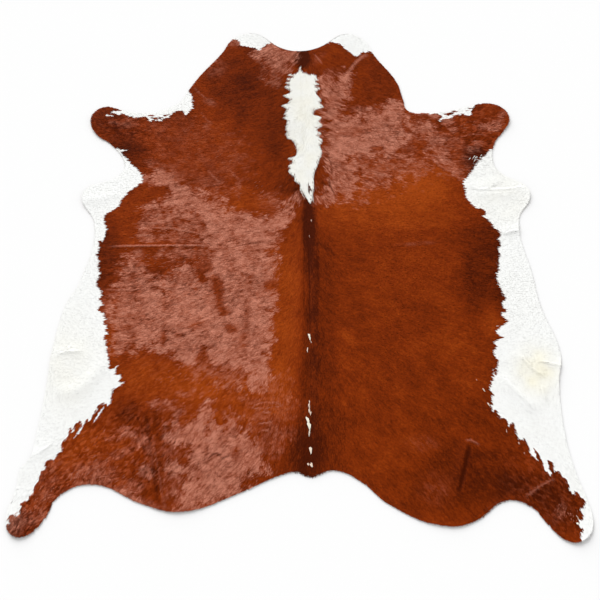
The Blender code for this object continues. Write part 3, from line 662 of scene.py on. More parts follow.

# Fine creases beside the frame's folds, each along a bow through three places. Each paints light on
# the hair along it: a painted highlight where its glint is above nothing, painted shade where below.
# crease, start, middle, end (across, along), half width, height, glint
CREASES = (
    ("barrel", -0.745, 0.053, -0.53, 0.056, -0.33, 0.057, 0.007, 0.0022, 0.9),
    ("barrel, upper", -0.590, 0.128, -0.48, 0.124, -0.350, 0.094, 0.006, 0.0016, 0.6),
    ("barrel, high", -0.625, 0.148, -0.57, 0.150, -0.52, 0.149, 0.005, 0.0012, 0.5),
    ("barrel, thin", -0.640, 0.100, -0.60, 0.100, -0.56, 0.100, 0.004, 0.0008, 0.35),
    ("barrel, inner", -0.212, 0.066, -0.16, 0.068, -0.10, 0.068, 0.006, -0.0010, -0.45),
    ("barrel, inner, upper", -0.225, 0.116, -0.20, 0.114, -0.175, 0.116, 0.005, -0.0010, -0.5),
    ("barrel, lower", -0.74, -0.115, -0.66, -0.118, -0.58, -0.112, 0.006, 0.0015, 0.5),
    ("right flank", 0.801, -0.357, 0.845, -0.412, 0.885, -0.437, 0.009, 0.0030, 0.0),
    ("right flank, branch", 0.861, -0.384, 0.90, -0.392, 0.945, -0.403, 0.008, 0.0025, 0.0),
    ("right flank, short", 0.869, -0.470, 0.873, -0.497, 0.880, -0.528, 0.008, 0.0025, 0.0),
    ("right flank, slant", 0.730, -0.441, 0.783, -0.501, 0.839, -0.559, 0.014, 0.0030, 0.0),
    ("left flank", -0.885, -0.362, -0.845, -0.352, -0.79, -0.350, 0.009, 0.0030, 0.0),
    ("left flank, branch", -0.853, -0.353, -0.845, -0.340, -0.835, -0.325, 0.007, 0.0020, 0.0),
    ("left groin", -0.915, -0.705, -0.89, -0.692, -0.868, -0.676, 0.008, 0.0025, 0.0),
    ("right armpit", 0.674, 0.303, 0.722, 0.287, 0.786, 0.327, 0.009, 0.0030, 0.0),
    ("right elbow", 0.716, 0.286, 0.80, 0.288, 0.89, 0.297, 0.009, 0.0030, 0.0),
    ("right waist", 0.785, 0.101, 0.812, 0.112, 0.845, 0.117, 0.009, 0.0035, 0.0),
    ("left neck fold", -0.438, 0.748, -0.405, 0.706, -0.360, 0.676, 0.005, 0.0010, 0.45),
    ("left neck fold, low", -0.402, 0.630, -0.385, 0.600, -0.352, 0.574, 0.005, 0.0010, 0.35),
    ("left shoulder streak", -0.368, 0.376, -0.345, 0.346, -0.312, 0.316, 0.006, 0.0008, 0.35),
    ("left withers streak", -0.275, 0.378, -0.268, 0.360, -0.236, 0.322, 0.005, 0.0008, 0.40),
    ("right armpit line", 0.520, 0.436, 0.575, 0.378, 0.655, 0.350, 0.008, 0.0012, 0.45),
    ("right fore shank", 0.645, 0.512, 0.70, 0.528, 0.765, 0.520, 0.004, 0.0008, 0.35),
    ("blaze parting", 0.000, 0.835, 0.004, 0.700, 0.000, 0.560, 0.005, -0.0006, -0.7),
    ("blaze parting, low", 0.000, 0.570, 0.013, 0.525, 0.016, 0.460, 0.006, -0.0006, -0.8),
    ("blaze parting, right", 0.018, 0.680, 0.022, 0.640, 0.021, 0.580, 0.005, -0.0004, -0.6),
    ("blaze parting, upper", 0.022, 0.800, 0.027, 0.780, 0.031, 0.750, 0.006, -0.0006, -0.7),
    ("blaze parting, end", 0.036, 0.360, 0.036, 0.320, 0.034, 0.290, 0.003, -0.0004, -0.6),
    ("backbone thread", 0.034, 0.140, 0.037, -0.08, 0.038, -0.26, 0.004, -0.0010, -0.70),
    ("backbone border", 0.020, 0.220, 0.017, 0.02, 0.016, -0.24, 0.004, -0.0010, -0.60),
    ("backbone thread, right", 0.066, 0.150, 0.069, -0.02, 0.066, -0.26, 0.009, -0.0004, -0.30),
    ("left haunch", -0.548, -0.560, -0.515, -0.73, -0.474, -0.915, 0.014, -0.0035, -0.6),
    ("left haunch, upper", -0.615, -0.535, -0.56, -0.575, -0.53, -0.700, 0.020, -0.0025, -0.35),
    ("left haunch, within", -0.590, -0.570, -0.56, -0.62, -0.545, -0.720, 0.008, -0.0020, -0.5),
    ("left haunch, beside", -0.528, -0.62, -0.497, -0.75, -0.458, -0.91, 0.007, 0.0020, 0.30),
    ("left haunch, wave", -0.640, -0.660, -0.60, -0.640, -0.560, -0.680, 0.012, 0.0025, 0.2),
    ("loin arc, first", -0.175, -0.558, -0.13, -0.535, -0.045, -0.546, 0.005, 0.0010, 0.5),
    ("loin arc, second", -0.140, -0.572, -0.12, -0.566, -0.098, -0.568, 0.006, 0.0010, 0.5),
    ("loin arc, third", -0.155, -0.612, -0.12, -0.604, -0.085, -0.600, 0.005, 0.0010, 0.45),
    ("loin arc, fourth", -0.145, -0.627, -0.12, -0.632, -0.100, -0.622, 0.005, 0.0010, 0.45),
    ("loin arc, dark", -0.140, -0.619, -0.12, -0.620, -0.100, -0.614, 0.004, -0.0010, -0.5),
    ("haunch wrinkle", -0.326, -0.738, -0.300, -0.712, -0.270, -0.724, 0.006, -0.0015, -1.0),
    ("haunch wrinkle, inner", -0.274, -0.732, -0.262, -0.722, -0.244, -0.718, 0.005, -0.0012, -0.8),
    ("neck wrinkle", 0.103, 0.430, 0.127, 0.395, 0.122, 0.345, 0.005, -0.0015, -1.0),
    ("neck wrinkle, low", 0.121, 0.352, 0.122, 0.300, 0.148, 0.262, 0.005, -0.0015, -1.0),
    ("neck wrinkle, outer", 0.116, 0.420, 0.140, 0.370, 0.134, 0.320, 0.005, 0.0012, 0.4),
    ("right crest line", 0.292, 0.893, 0.238, 0.860, 0.172, 0.745, 0.012, 0.0008, 0.75),
    ("nape line", 0.060, 0.900, 0.080, 0.874, 0.096, 0.846, 0.006, 0.0006, 0.45),
    ("right haunch", 0.600, -0.671, 0.573, -0.762, 0.546, -0.851, 0.012, -0.0030, -0.9),
    ("right haunch, across", 0.583, -0.664, 0.61, -0.668, 0.635, -0.684, 0.007, 0.0020, 0.5),
    ("right hind shank", 0.776, -0.860, 0.832, -0.821, 0.894, -0.792, 0.008, 0.0025, 0.5),
)
CREASE_STEPS = 10
CREASE_FADE = 0.2  # share of a crease over which each of its ends fades out
CREASE_BESIDE = 0.05  # how far beside a crease it is looked for

# The coat is divided into pieces by bands across the hide, each with a left and a right piece.
# band, from along, to along
BANDS = (
    ("neck", 0.36, 2.0),
    ("barrel", -0.36, 0.36),
    ("haunch", -2.0, -0.36),
)
SIDES = (("left", -1), ("right", 1))
MIDLINE = 0.030  # across, where the left side meets the right

# The shape of one lock: a root, a left and a right edge with a ridge between them, and a tip.
LOCK_POINTS = 5
LOCK_FACES = np.array(((0, 2, 1), (0, 3, 2), (2, 4, 1), (2, 3, 4)))
WAIST = 0.42  # where along a lock it is widest
LOCK_ACROSS = (0.0, -1.0, 0.0, 1.0, 0.0)
LOCK_ALONG = (0.0, WAIST, WAIST, WAIST, 1.0)
LOCK_TILTS = ((0.0, -0.6), (1.0, 0.0), (0.0, -0.2), (-1.0, 0.0), (0.0, 0.3))  # across, along
ROUNDNESS = 0.25  # how much of those tilts a lock shows
SEEN = 0.74  # where along a lock it shows the most from above
ROOT_DEPTH = 0.0006  # how deep a root is sunk into the leather
EDGE_HEIGHT = 0.45  # height of a lock's edges, as a share of its loft
RIDGE_HEIGHT = 0.60  # height of its ridge, as a share of its loft
RIDGE_RISE = 0.12  # how much more the ridge rises, as a share of half the lock's width
TIP_DROOP = 0.9  # how far a tip droops for each metre that it is past the rim
CLEAR = 0.0002  # least height of the hair over the floor
SHORTEST = 0.002  # least length of a lock
STOUTEST = 0.6  # greatest width of a lock, as a share of its length

# How the locks lie. A spread is how much one lock differs from the next.
ROOT_SHIFT = 0.38  # how far roots lie out of their rows, as a share of their spacing
RIM_GAP = 0.0004  # how far inside the rim the outermost roots are
CLUMP_PLACES = (0.05, 0.95)  # where in its cell the middle of a clump may be
CLUMP_STRETCH = 0.55  # how much less a distance counts along the hair than across it
CLUMP_REACH = 1.15  # where a clump's tips meet, in lengths of a lock
CLUMP_WIDTH = 0.2  # share of its own place in the clump that a tip keeps
CALM_DRAW = 0.5  # share of the draw that acts where the coat is calm
CALM = 0.3  # how ruffled the coat is at its calmest
MOST_RUFFLED = 1.5  # the most that it is ruffled beyond that
# degrees, size, seed
SWAY = ((16, 0.010, 1), (10, 0.05, 2))
SWAY_SPREAD = 7  # degrees
LENGTH_SPREAD = 0.22
WIDTH_SPREAD = 0.25
LEAN_SPREAD = 0.07  # how far a lock's waist lies beside it, as a share of its length
TILT_SPREAD = 0.10  # how far one edge stands over the other, as a share of half the width
FACING_SPREAD = 0.05
LOFT_SPREAD = 0.2
LOFT_SWING = 0.35  # how much the loft varies from patch to patch
LOFT_PATCH = 0.006  # size of those patches
LOFT_SEED = 3
LONG_LOFT = 0.3  # how much of its greater length shows in the loft of long hair
WHITE_FLATTER = 0.50  # how much closer white hair lies
WHITE_LONG = 2.1  # white hair this many times as long lies no closer than brown
WHITE_SMOOTHER = 0.92  # how much more evenly it lies
WHITE_SOFTER = 0.50  # how much less the folds show in it
# A lock that would reach past the rim is cut to a share of its length.
CUTS = (0.3, 0.45, 0.6, 0.75, 0.9, 1.0)
CUT_SHORTEST = 0.18
CUT_STEP = 0.16  # a little more than the greatest step from one share to the next
CUT_BACK = 0.003  # how far the leather's cut edge lies inside the rim of the coat

# The noises that vary the coat's colours. Streaks are drawn out along the hair.
LATTICE = 256  # cells after which a noise repeats
STREAK_POWER = 0.75  # keeps a streak's strength when it is averaged over its steps
# noise: size, length, seed, steps
STREAKS = {
    "streak": (0.006, 0.012, 13, 4),
    "wisp": (0.013, 0.020, 16, 4),
    "line": (0.006, 0.045, 19, 8),
}
# noise: size, seed
PATCHES = {
    "broad": (0.120, 14),
    "patch": (0.040, 15),
    "blot": (0.022, 17),
    "speck": (0.010, 18),
}
SPECK_IN_BLOT = 0.6
# How much each noise counts, beside a clump's luck and a lock's own. The first three shape the
# painted sheen: its borders, where it mixes in, and how it varies from lock to lock.
PAINTED_SHEEN_BORDER = {"blot": 0.7, "wisp": 0.4, "own": 0.5}
PAINTED_SHEEN_MIX_NOISE = {"line": 0.9, "blot": 0.5, "clump": 0.4, "own": 0.4}
PAINTED_SHEEN_NOISE = {"streak": 0.32, "wisp": 0.20, "line": 0.25, "clump": 0.20, "blot": 0.34, "own": 0.38}
BROWN_NOISE = {"broad": 0.08, "patch": 0.08, "wisp": 0.06, "streak": 0.08, "clump": 0.07, "own": 0.10}
WHITE_NOISE = {"broad": 0.10, "patch": 0.06, "streak": 0.03, "clump": 0.02, "own": 0.02}

# The coat's colours, with its painted sheen, and the painted highlight and painted shade of creases
# and of the blaze's partings
PAINTED_SHEEN_WANDER = 0.6  # how far the borders of a field of painted sheen wander, as a share of its feather
PAINTED_SHEEN_MEAN = 0.60  # painted sheen of hair within a field of it
PAINTED_SHEEN_SWING = 0.62  # how much it varies from lock to lock
PAINTED_SHEEN_MIX = 1.2  # how much hair with and without painted sheen mixes where the one gives way to the other
CREASE_HIGHLIGHT = 0.7  # how much painted highlight a bright crease adds to the painted sheen
CREASE_SHADE_ON_SHEEN = 0.8  # how much the painted shade of a dark crease takes from the painted sheen
CREASE_SHADE_ON_BROWN = 0.40  # how much painted shade a dark crease puts on brown hair
CREASE_SHADE_ON_WHITE = 0.8  # how much painted shade it puts on white hair
BROWN_TONE = 0.49
WHITE_TONE = 0.83
BORDER_SPREAD = 0.0011  # how far the border of a marking wanders from lock to lock
BORDER_DARKER = 0.12  # how much darker brown hair is along a marking
BORDER_REACH = 0.010  # how far from the marking it is so
LONG_BRIGHTER = 0.3  # how much brighter the blaze's long hair is
PARTING_SHADE = 0.5  # how much painted shade darkens it where it parts
PARTING_SHADE_STREAK = 0.5  # how much the short streaks add to that painted shade
STAIN_MEAN = 0.8
STAIN_SWING = 0.4  # how much a stain varies from patch to patch
WAVE_TONE = 0.16  # how much the ruffled coat's clumps vary in tone
WAVE_PAINTED_SHEEN = 0.10  # how much they vary in painted sheen

# The finish of the hair. Strands and speckle are noises within a lock.
STRANDS_ACROSS = 3.0
STRANDS_ALONG = 0.9
STRANDS_SCALE = 1.6
STRAND_SEEDS = 100.0  # range of the number that tells one lock's strands from the next
SKIN_SEED = 7.0  # the same number for the hair side of the leather
SPECKLE_SCALE = 230.0
BROWN_STRANDS = 0.22
BROWN_SPECKLE = 0.42
# how much the strands and speckle vary the painted sheen
PAINTED_SHEEN_STRANDS = 0.8
PAINTED_SHEEN_SPECKLE = 1.9
WHITE_STRANDS = 0.14
WHITE_SPECKLE = 0.10
ROOT_SHADE = 0.10  # how much painted shade darkens brown hair towards its roots
ROOT_SHADE_ON_SHEEN = 0.1  # how much painted shade dims the painted sheen there
HAIR_ROUGHNESS = 0.62
GLOSS_SMOOTHER = 0.14  # how much less rough the hair is where its sheen is painted
HAIR_BUMP = (0.25, 0.0006)  # strength, distance
HAIR_SPECULAR = 0.02

# The finish of the leather
MOTTLE_SCALE = 9.0
NAP_SCALE = 900.0
MOTTLE_SHARE = 0.7  # how much the mottling brightens the leather
NAP_SHARE = 0.5  # how much its nap does
LEATHER_DARKER = 0.72  # its darkest colour, as a share of its brightest
LEATHER_ROUGHNESS = 0.86
NAP_ROUGHER = 0.1
LEATHER_BUMP = (0.4, 0.0004)  # strength, distance
MOTTLE_BUMP = 0.5  # how much the mottling counts beside the nap
LEATHER_SPECULAR = 0.2
RIM_STEP = 0.6  # distance between the leather's rim points, in mesh steps
SKIN_DISORDER = 3  # number that the disorder of the leather's mesh is drawn from
SAME_PLACE = 1e-7  # places of that mesh closer than this are one
MAP_GAP = 1.02  # from the map of the hair side to that of the flesh side, in widths


class HideSettings(bpy.types.PropertyGroup):
    skin: FloatProperty(
        name="Skin",
        description="Thickness of the leather without its hair",
        default=0.0024,
        min=0.0010,
        max=0.0040,
        unit="LENGTH",
    )
    mesh_step: FloatProperty(
        name="Mesh step",
        description="Distance between the points of the leather's mesh",
        default=0.0100,
        min=0.0060,
        max=0.0300,
        unit="LENGTH",
    )
    leather: FloatVectorProperty(
        name="Leather",
        description="Colour of the tanned flesh side",
        subtype="COLOR",
        size=3,
        min=0.0,
        max=1.0,
        default=(0.47, 0.36, 0.25),
    )


class CoatSettings(bpy.types.PropertyGroup):
    spacing: FloatProperty(
        name="Spacing",
        description="Distance between the roots of neighbouring locks",
        default=0.0044,
        min=0.0040,
        max=0.0200,
        unit="LENGTH",
    )
    length: FloatProperty(
        name="Lock length",
        description="Length of a lock where the coat is short",
        default=0.018,
        min=0.008,
        max=0.060,
        unit="LENGTH",
    )
    width: FloatProperty(
        name="Lock width",
        description="Width of a lock at its widest",
        default=0.0044,
        min=0.0010,
        max=0.0100,
        unit="LENGTH",
    )
    clump: FloatProperty(
        name="Clump",
        description="Distance between clumps of locks that draw together",
        default=0.0100,
        min=0.0050,
        max=0.0400,
        unit="LENGTH",
    )
    draw: FloatProperty(
        name="Drawn together",
        description="How far the tips of a clump draw together",
        default=0.4,
        min=0.0,
        max=1.0,
        subtype="FACTOR",
    )
    loft: FloatProperty(
        name="Loft",
        description="How high the tips of the hair stand over the leather",
        default=0.0020,
        min=0.0005,
        max=0.0080,
        unit="LENGTH",
    )
    overhang: FloatProperty(
        name="Overhang",
        description="How far the hair reaches past the rim",
        default=0.0010,
        min=0.0,
        max=0.0100,
        unit="LENGTH",
    )
    seed: IntProperty(
        name="Seed",
        description="Number that the coat's disorder is drawn from",
        default=5,
        min=0,
    )
    brown_dark: FloatVectorProperty(
        name="Dark brown",
        description="Colour of the darkest brown hair",
        subtype="COLOR",
        size=3,
        default=(0.060, 0.0070, 0.0006),
    )
    brown: FloatVectorProperty(
        name="Brown",
        description="Colour of most of the brown hair",
        subtype="COLOR",
        size=3,
        default=(0.200, 0.0250, 0.0016),
    )
    brown_bright: FloatVectorProperty(
        name="Bright brown",
        description="Colour of the brightest brown hair",
        subtype="COLOR",
        size=3,
        default=(0.345, 0.0560, 0.0045),
    )
    # Painted sheen: the pinkish highlight colour that is mixed into brown hair where its sheen is painted.
    sheen: FloatVectorProperty(
        name="Sheen",
        description="Colour that brown hair takes where it lies glossy",
        subtype="COLOR",
        size=3,
        default=(0.540, 0.205, 0.134),
    )
    white: FloatVectorProperty(
        name="White",
        description="Colour of the white hair",
        subtype="COLOR",
        size=3,
        default=(0.836, 0.842, 0.832),
    )
    # The darker white, used where white hair's tone varies at random and for the painted shade of dark
    # creases and of the blaze's partings.
    white_low: FloatVectorProperty(
        name="Shaded white",
        description="Colour of the white hair between its locks",
        subtype="COLOR",
        size=3,
        default=(0.740, 0.736, 0.690),
    )
    cream: FloatVectorProperty(
        name="Cream",
        description="Colour of the white hair where it is stained",
        subtype="COLOR",
        size=3,
        default=(0.820, 0.790, 0.660),
    )


class StudioSettings(bpy.types.PropertyGroup):
    elevation: FloatProperty(
        name="Elevation",
        description="Angle at which the camera looks down on the rug",
        default=math.radians(60),
        subtype="ANGLE",
    )
    distance: FloatProperty(
        name="Distance",
        description="Distance from the camera to the spot it looks at",
        default=5.0,
        unit="LENGTH",
    )
    lens: FloatProperty(
        name="Lens",
        description="Focal length of the camera in millimetres",
        default=80.092,
    )
    floor: FloatVectorProperty(
        name="Floor",
        description="Colour of the floor",
        subtype="COLOR",
        size=3,
        default=(0.795, 0.795, 0.795),
    )
    key: FloatProperty(
        name="Key",
        description="Strength of the wide light behind the neck",
        default=3.70,
    )
    key_height: FloatProperty(
        name="Key height",
        description="Angle of the wide light over the floor",
        default=math.radians(24),
        subtype="ANGLE",
    )
    fill: FloatProperty(
        name="Fill",
        description="Strength of the light from all round",
        default=0.77,
    )


def to_metres(shares):
    return np.asarray(shares, float) * HALF


def ring_in_metres(ring):
    """The places of a ring that is given in thousandths of a share."""
    return to_metres(np.array(ring) / 1000)


def rounded(ring, steps=4):
    """A closed ring with smooth stretches between its points."""
    ring = np.asarray(ring, float)
    before = np.roll(ring, 1, axis=0)
    after = np.roll(ring, -1, axis=0)
    beyond = np.roll(ring, -2, axis=0)
    parts = []
    for step in range(steps):
        t = step / steps
        parts.append(
            0.5
            * (
                2 * ring
                + (after - before) * t
                + (2 * before - 5 * ring + 4 * after - beyond) * t**2
                + (3 * ring - before - 3 * after + beyond) * t**3
            )
        )
    return np.stack(parts, axis=1).reshape(-1, 2)


def inside_by(spots, ring):
    """How far inside a closed ring each spot is, in metres, and below nothing outside it."""
    nearest = np.full(len(spots), np.inf)
    crossed = np.zeros(len(spots), bool)
    for start, end in zip(ring, np.roll(ring, -1, axis=0)):
        run = end - start
        gap = spots - start
        share = np.clip(gap @ run / max(run @ run, 1e-12), 0.0, 1.0)
        gap = gap - share[:, None] * run
        nearest = np.minimum(nearest, (gap**2).sum(1))
        level = (start[1] > spots[:, 1]) != (end[1] > spots[:, 1])
        if run[1] != 0.0:
            meets = start[0] + (spots[:, 1] - start[1]) * run[0] / run[1]
            crossed ^= level & (spots[:, 0] < meets)
    return np.where(crossed, 1.0, -1.0) * np.sqrt(nearest)


def bow(start, middle, end, steps):
    """Places along the bow that leaves start, goes through middle and reaches end."""
    start, middle, end = (to_metres(spot) for spot in (start, middle, end))
    pull = 2.0 * middle - (start + end) / 2.0
    t = np.linspace(0.0, 1.0, steps + 1)[:, None]
    return (1 - t) ** 2 * start + 2 * (1 - t) * t * pull + t**2 * end


def along_path(spots, path):
    """How far each spot is from an open path, and where along it the nearest place is."""
    nearest = np.full(len(spots), np.inf)
    where = np.zeros(len(spots))
    for step, (start, end) in enumerate(zip(path, path[1:])):
        run = end - start
        share = np.clip((spots - start) @ run / (run @ run), 0.0, 1.0)
        away = np.hypot(*(spots - start - share[:, None] * run).T)
        closer = away < nearest
        nearest[closer] = away[closer]
        where[closer] = (step + share[closer]) / (len(path) - 1)
    return nearest, where


def smooth(share):
    share = np.clip(share, 0.0, 1.0)
    return share * share * (3.0 - 2.0 * share)


def crease_lines(spots):
    """How much the fine creases lift each spot, and the painted highlight or painted shade on its hair."""
    lift = np.zeros(len(spots))
    crease_light_and_shade = np.zeros(len(spots))
    for _, ax, ay, bx, by, cx, cy, half_width, height, light_and_shade in CREASES:
        path = bow((ax, ay), (bx, by), (cx, cy), CREASE_STEPS)
        beside = np.ptp(path, axis=0) + CREASE_BESIDE
        near = np.flatnonzero((np.abs(spots - path.mean(0)) < beside).all(1))
        away, where = along_path(spots[near], path)
        fade = smooth(np.minimum(where, 1.0 - where) / CREASE_FADE)
        shape = fade * np.cos(np.pi / 2 * np.clip(away / half_width, 0.0, 1.0)) ** 2
        lift[near] += height * shape
        crease_light_and_shade[near] += light_and_shade * shape
    return lift, crease_light_and_shade


def blurred(grid, reach):
    """A grid of values, blurred over a reach given in cells."""
    half = int(math.ceil(3 * reach))
    weights = np.exp(-0.5 * (np.arange(-half, half + 1) / reach) ** 2)
    weights /= weights.sum()
    for axis in (0, 1):
        padded = np.pad(grid, [(half, half) if a == axis else (0, 0) for a in (0, 1)])
        size = grid.shape[axis]
        grid = sum(
            weight * np.take(padded, range(step, step + size), axis=axis)
            for step, weight in enumerate(weights)
        )
    return grid


def between(grid, rows, columns, shares):
    """A grid's value between two rows and two columns, at shares of the way across and along."""
    right, up = shares.T
    low, high = (grid[row, columns[0]] * (1 - right) + grid[row, columns[1]] * right for row in rows)
    return low * (1 - up) + high * up


class Lie:
    """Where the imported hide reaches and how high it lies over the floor."""

    def __init__(self):
        shape = bmesh.new()
        shape.from_mesh(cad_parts[NODE].data)
        bmesh.ops.remove_doubles(shape, verts=shape.verts, dist=MERGE)
        self.rim = self.cut_edge(shape)
        low = np.array(CAD_BOX[0][:2]) - RASTER_MARGIN
        high = np.array(CAD_BOX[1][:2]) + RASTER_MARGIN
        self.low = low
        self.size = np.ceil((high - low) / RASTER).astype(int) + 1
        across, along = (low[a] + RASTER * np.arange(self.size[a]) for a in (0, 1))
        spots = np.stack(np.meshgrid(across, along), -1).reshape(-1, 2)
        self.inside = inside_by(spots, self.rim).reshape(self.size[1], self.size[0])
        self.height = self.underside(shape, spots)
        shape.free()

    def cut_edge(self, shape):
        """The places round the hide, in order, where its underside meets its cut side."""
        after = {}
        for edge in shape.edges:
            if len(edge.link_faces) != 2:
                continue
            flat = sorted(face.normal.z for face in edge.link_faces)
            if flat[0] < FACES_DOWN and abs(flat[1]) < FACES_OUT:
                one, other = edge.verts
                after.setdefault(one, []).append(other)
                after.setdefault(other, []).append(one)
        first = min(after, key=lambda vertex: vertex.co.x)
        ring = [first, after[first][0]]
        while ring[-1] is not first:
            one, other = after[ring[-1]]
            ring.append(other if one is ring[-2] else one)
        return np.array([vertex.co.xy for vertex in ring[:-1]])

    def underside(self, shape, spots):
        """Height of the underside over the floor, with its facets rounded off."""
        tree = BVHTree.FromBMesh(shape)
        up = Vector((0.0, 0.0, 1.0))
        known = np.zeros(len(spots))
        height = np.zeros(len(spots))
        for index in np.flatnonzero(self.inside.ravel() > 0.0):
            found = tree.ray_cast(Vector((*spots[index], -PROBE)), up)[0]
            if found is not None:
                known[index] = 1.0
                height[index] = found.z
        known = blurred(known.reshape(self.inside.shape), SOFTENING / RASTER)
        height = blurred(height.reshape(self.inside.shape), SOFTENING / RASTER)
        return np.where(known > KNOWN, height / np.maximum(known, KNOWN), 0.0)

    def read(self, grid, spots):
        """A grid's value at each spot, between its four cells."""
        at = np.clip((spots - self.low) / RASTER, 0.0, self.size - 1.001)
        cell = at.astype(int)
        column, row = cell.T
        return between(grid, (row, row + 1), (column, column + 1), at - cell)

    def inset(self, spots):
        return self.read(self.inside, spots)

    def floor_gap(self, spots):
        """Height of the leather's underside at each spot, with the fine creases."""
        lift = crease_lines(spots)[0]
        return np.maximum(self.read(self.height, spots) + lift, 0.0)

    def facing(self, spots):
        """The direction that the hide faces at each spot."""
        up = np.ones((len(spots), 3))
        for axis, step in enumerate(SLOPE_STEP * np.eye(2)):
            rise = self.floor_gap(spots + step) - self.floor_gap(spots - step)
            up[:, axis] = -rise / (2 * SLOPE_STEP)
        return up


@functools.cache
def lie():
    return Lie()


def in_oval(gap, turn, half_width, half_length):
    """Gaps to the middle of a turned oval, across and along it, as shares of its half sizes."""
    cos, sin = math.cos(math.radians(turn)), math.sin(math.radians(turn))
    across = (gap[:, 0] * cos + gap[:, 1] * sin) / half_width
    along = (gap[:, 1] * cos - gap[:, 0] * sin) / half_length
    return across, along


def zones(spots, table):
    """The sum of a table's zones at each spot, each strongest in its middle."""
    shares = spots / HALF
    total = np.zeros(len(spots))
    for _, across, along, reach_across, reach_along, turn, strength in table:
        u, v = in_oval(shares - (across, along), turn, reach_across, reach_along)
        total += strength * np.exp(-0.5 * (u**2 + v**2) ** 1.5)
    return total


def hair_way(spots):
    """The direction in which the hair grows at each spot."""
    shares = spots / HALF
    way = np.zeros((len(spots), 2))
    for _, across, along, heading in GROWTH:
        angle = math.radians(heading)
        for side in (-1, 1):
            away = np.hypot(shares[:, 0] - MIDLINE - side * across, shares[:, 1] - along)
            weight = 1.0 / (away + GROWTH_BLUR) ** (2 * GROWTH_POWER)
            way[:, 0] += weight * side * math.sin(angle)
            way[:, 1] -= weight * math.cos(angle)
    return way / np.maximum(np.hypot(*way.T), 1e-9)[:, None]


def grain(spots, size, seed):
    """Soft noise from -1 to 1 whose patches are about one size across."""
    lattice = np.random.default_rng(seed).uniform(-1.0, 1.0, (LATTICE, LATTICE))
    at = spots / size + LATTICE / 2
    cell = np.floor(at).astype(int)
    column, row = (cell % LATTICE).T
    rows = (row, (row + 1) % LATTICE)
    columns = (column, (column + 1) % LATTICE)
    return between(lattice, rows, columns, smooth(at - cell))


def streaks(spots, way, size, reach, seed, steps):
    """Noise drawn out along the hair: it is averaged over a walk along the way it grows."""
    total = np.zeros(len(spots))
    for step in range(-steps, steps + 1):
        total += grain(spots + way * (reach * step / steps), size, seed)
    return total / (2 * steps + 1) ** STREAK_POWER


def whiteness(spots):
    """How far each spot lies within a white marking, in metres, and below nothing in the brown."""
    white = np.full(len(spots), -np.inf)
    for ring in WHITE_MARKINGS.values():
        white = np.maximum(white, inside_by(spots, rounded(ring_in_metres(ring))))
    shares = spots / HALF
    for _, across, along, half_width, half_length, turn, value in FLECKS:
        gap = (shares - (across, along)) * HALF
        away = np.hypot(*in_oval(gap, turn, half_width, half_length))
        within = (1.0 - away) * min(half_width, half_length)
        if value:
            white = np.maximum(white, within)
        else:
            white = np.minimum(white, -within)
    return white


def scattered(spacing, rng):
    """Places over the hide's box in staggered rows, a little out of line."""
    rise = spacing * math.sqrt(3) / 2
    rows = int(LENGTH / rise) + 2
    columns = int(SPAN / spacing) + 2
    column, row = np.meshgrid(np.arange(columns), np.arange(rows))
    across = (column + 0.5 * (row % 2)) * spacing - SPAN / 2
    along = row * rise - LENGTH / 2
    spots = np.stack((across.ravel(), along.ravel()), 1)
    return spots + rng.uniform(-ROOT_SHIFT, ROOT_SHIFT, spots.shape) * spacing


def clump_of(spots, way, step, rng):
    """The middle of each spot's clump, and the clump's luck from -1 to 1. Clumps are longer
    along the hair than across it."""
    shape = (int(LENGTH / step) + 6, int(SPAN / step) + 6)
    shift = rng.uniform(*CLUMP_PLACES, (*shape, 2))
    lucks = rng.uniform(-1.0, 1.0, shape)
    low = -np.array((SPAN, LENGTH)) / 2 - 2 * step
    cell = np.floor((spots - low) / step).astype(int)
    best = np.full(len(spots), np.inf)
    middle = np.zeros_like(spots)
    luck = np.zeros(len(spots))
    for right in (-1, 0, 1):
        for up in (-1, 0, 1):
            column = np.clip(cell[:, 0] + right, 0, shape[1] - 1)
            row = np.clip(cell[:, 1] + up, 0, shape[0] - 1)
            centre = low + step * (np.stack((column, row), 1) + shift[row, column])
            gap = spots - centre
            run = (gap * way).sum(1)
            away = (gap**2).sum(1) - CLUMP_STRETCH * run**2
            closer = away < best
            best[closer] = away[closer]
            middle[closer] = centre[closer]
            luck[closer] = lucks[row, column][closer]
    return middle, luck


def turned(way, angle):
    """Each direction, turned to the left by its angle in radians."""
    cos, sin = np.cos(angle), np.sin(angle)
    return np.stack((way[:, 0] * cos - way[:, 1] * sin, way[:, 0] * sin + way[:, 1] * cos), 1)


def painted_sheen_at(spots, unevenness):
    """How strongly the painted sheen shows at each spot, with uneven borders to its fields."""
    total = np.zeros(len(spots))
    for _, strength, feather, ring in PAINTED_SHEEN_FIELDS:
        ring = rounded(ring_in_metres(ring), 2)
        beside = (spots > ring.min(0) - 2 * feather) & (spots < ring.max(0) + 2 * feather)
        near = np.flatnonzero(beside.all(1))
        inside = inside_by(spots[near], ring) / feather + PAINTED_SHEEN_WANDER * unevenness[near]
        total[near] += (strength - total[near]) * smooth(inside + 0.5)
    return np.clip(total + zones(spots, PAINTED_SHEEN_PATCHES), 0.0, 1.0)


def weighed(noises, weights):
    """The sum of the noises, each times its weight."""
    return sum(weight * noises[name] for name, weight in weights.items())


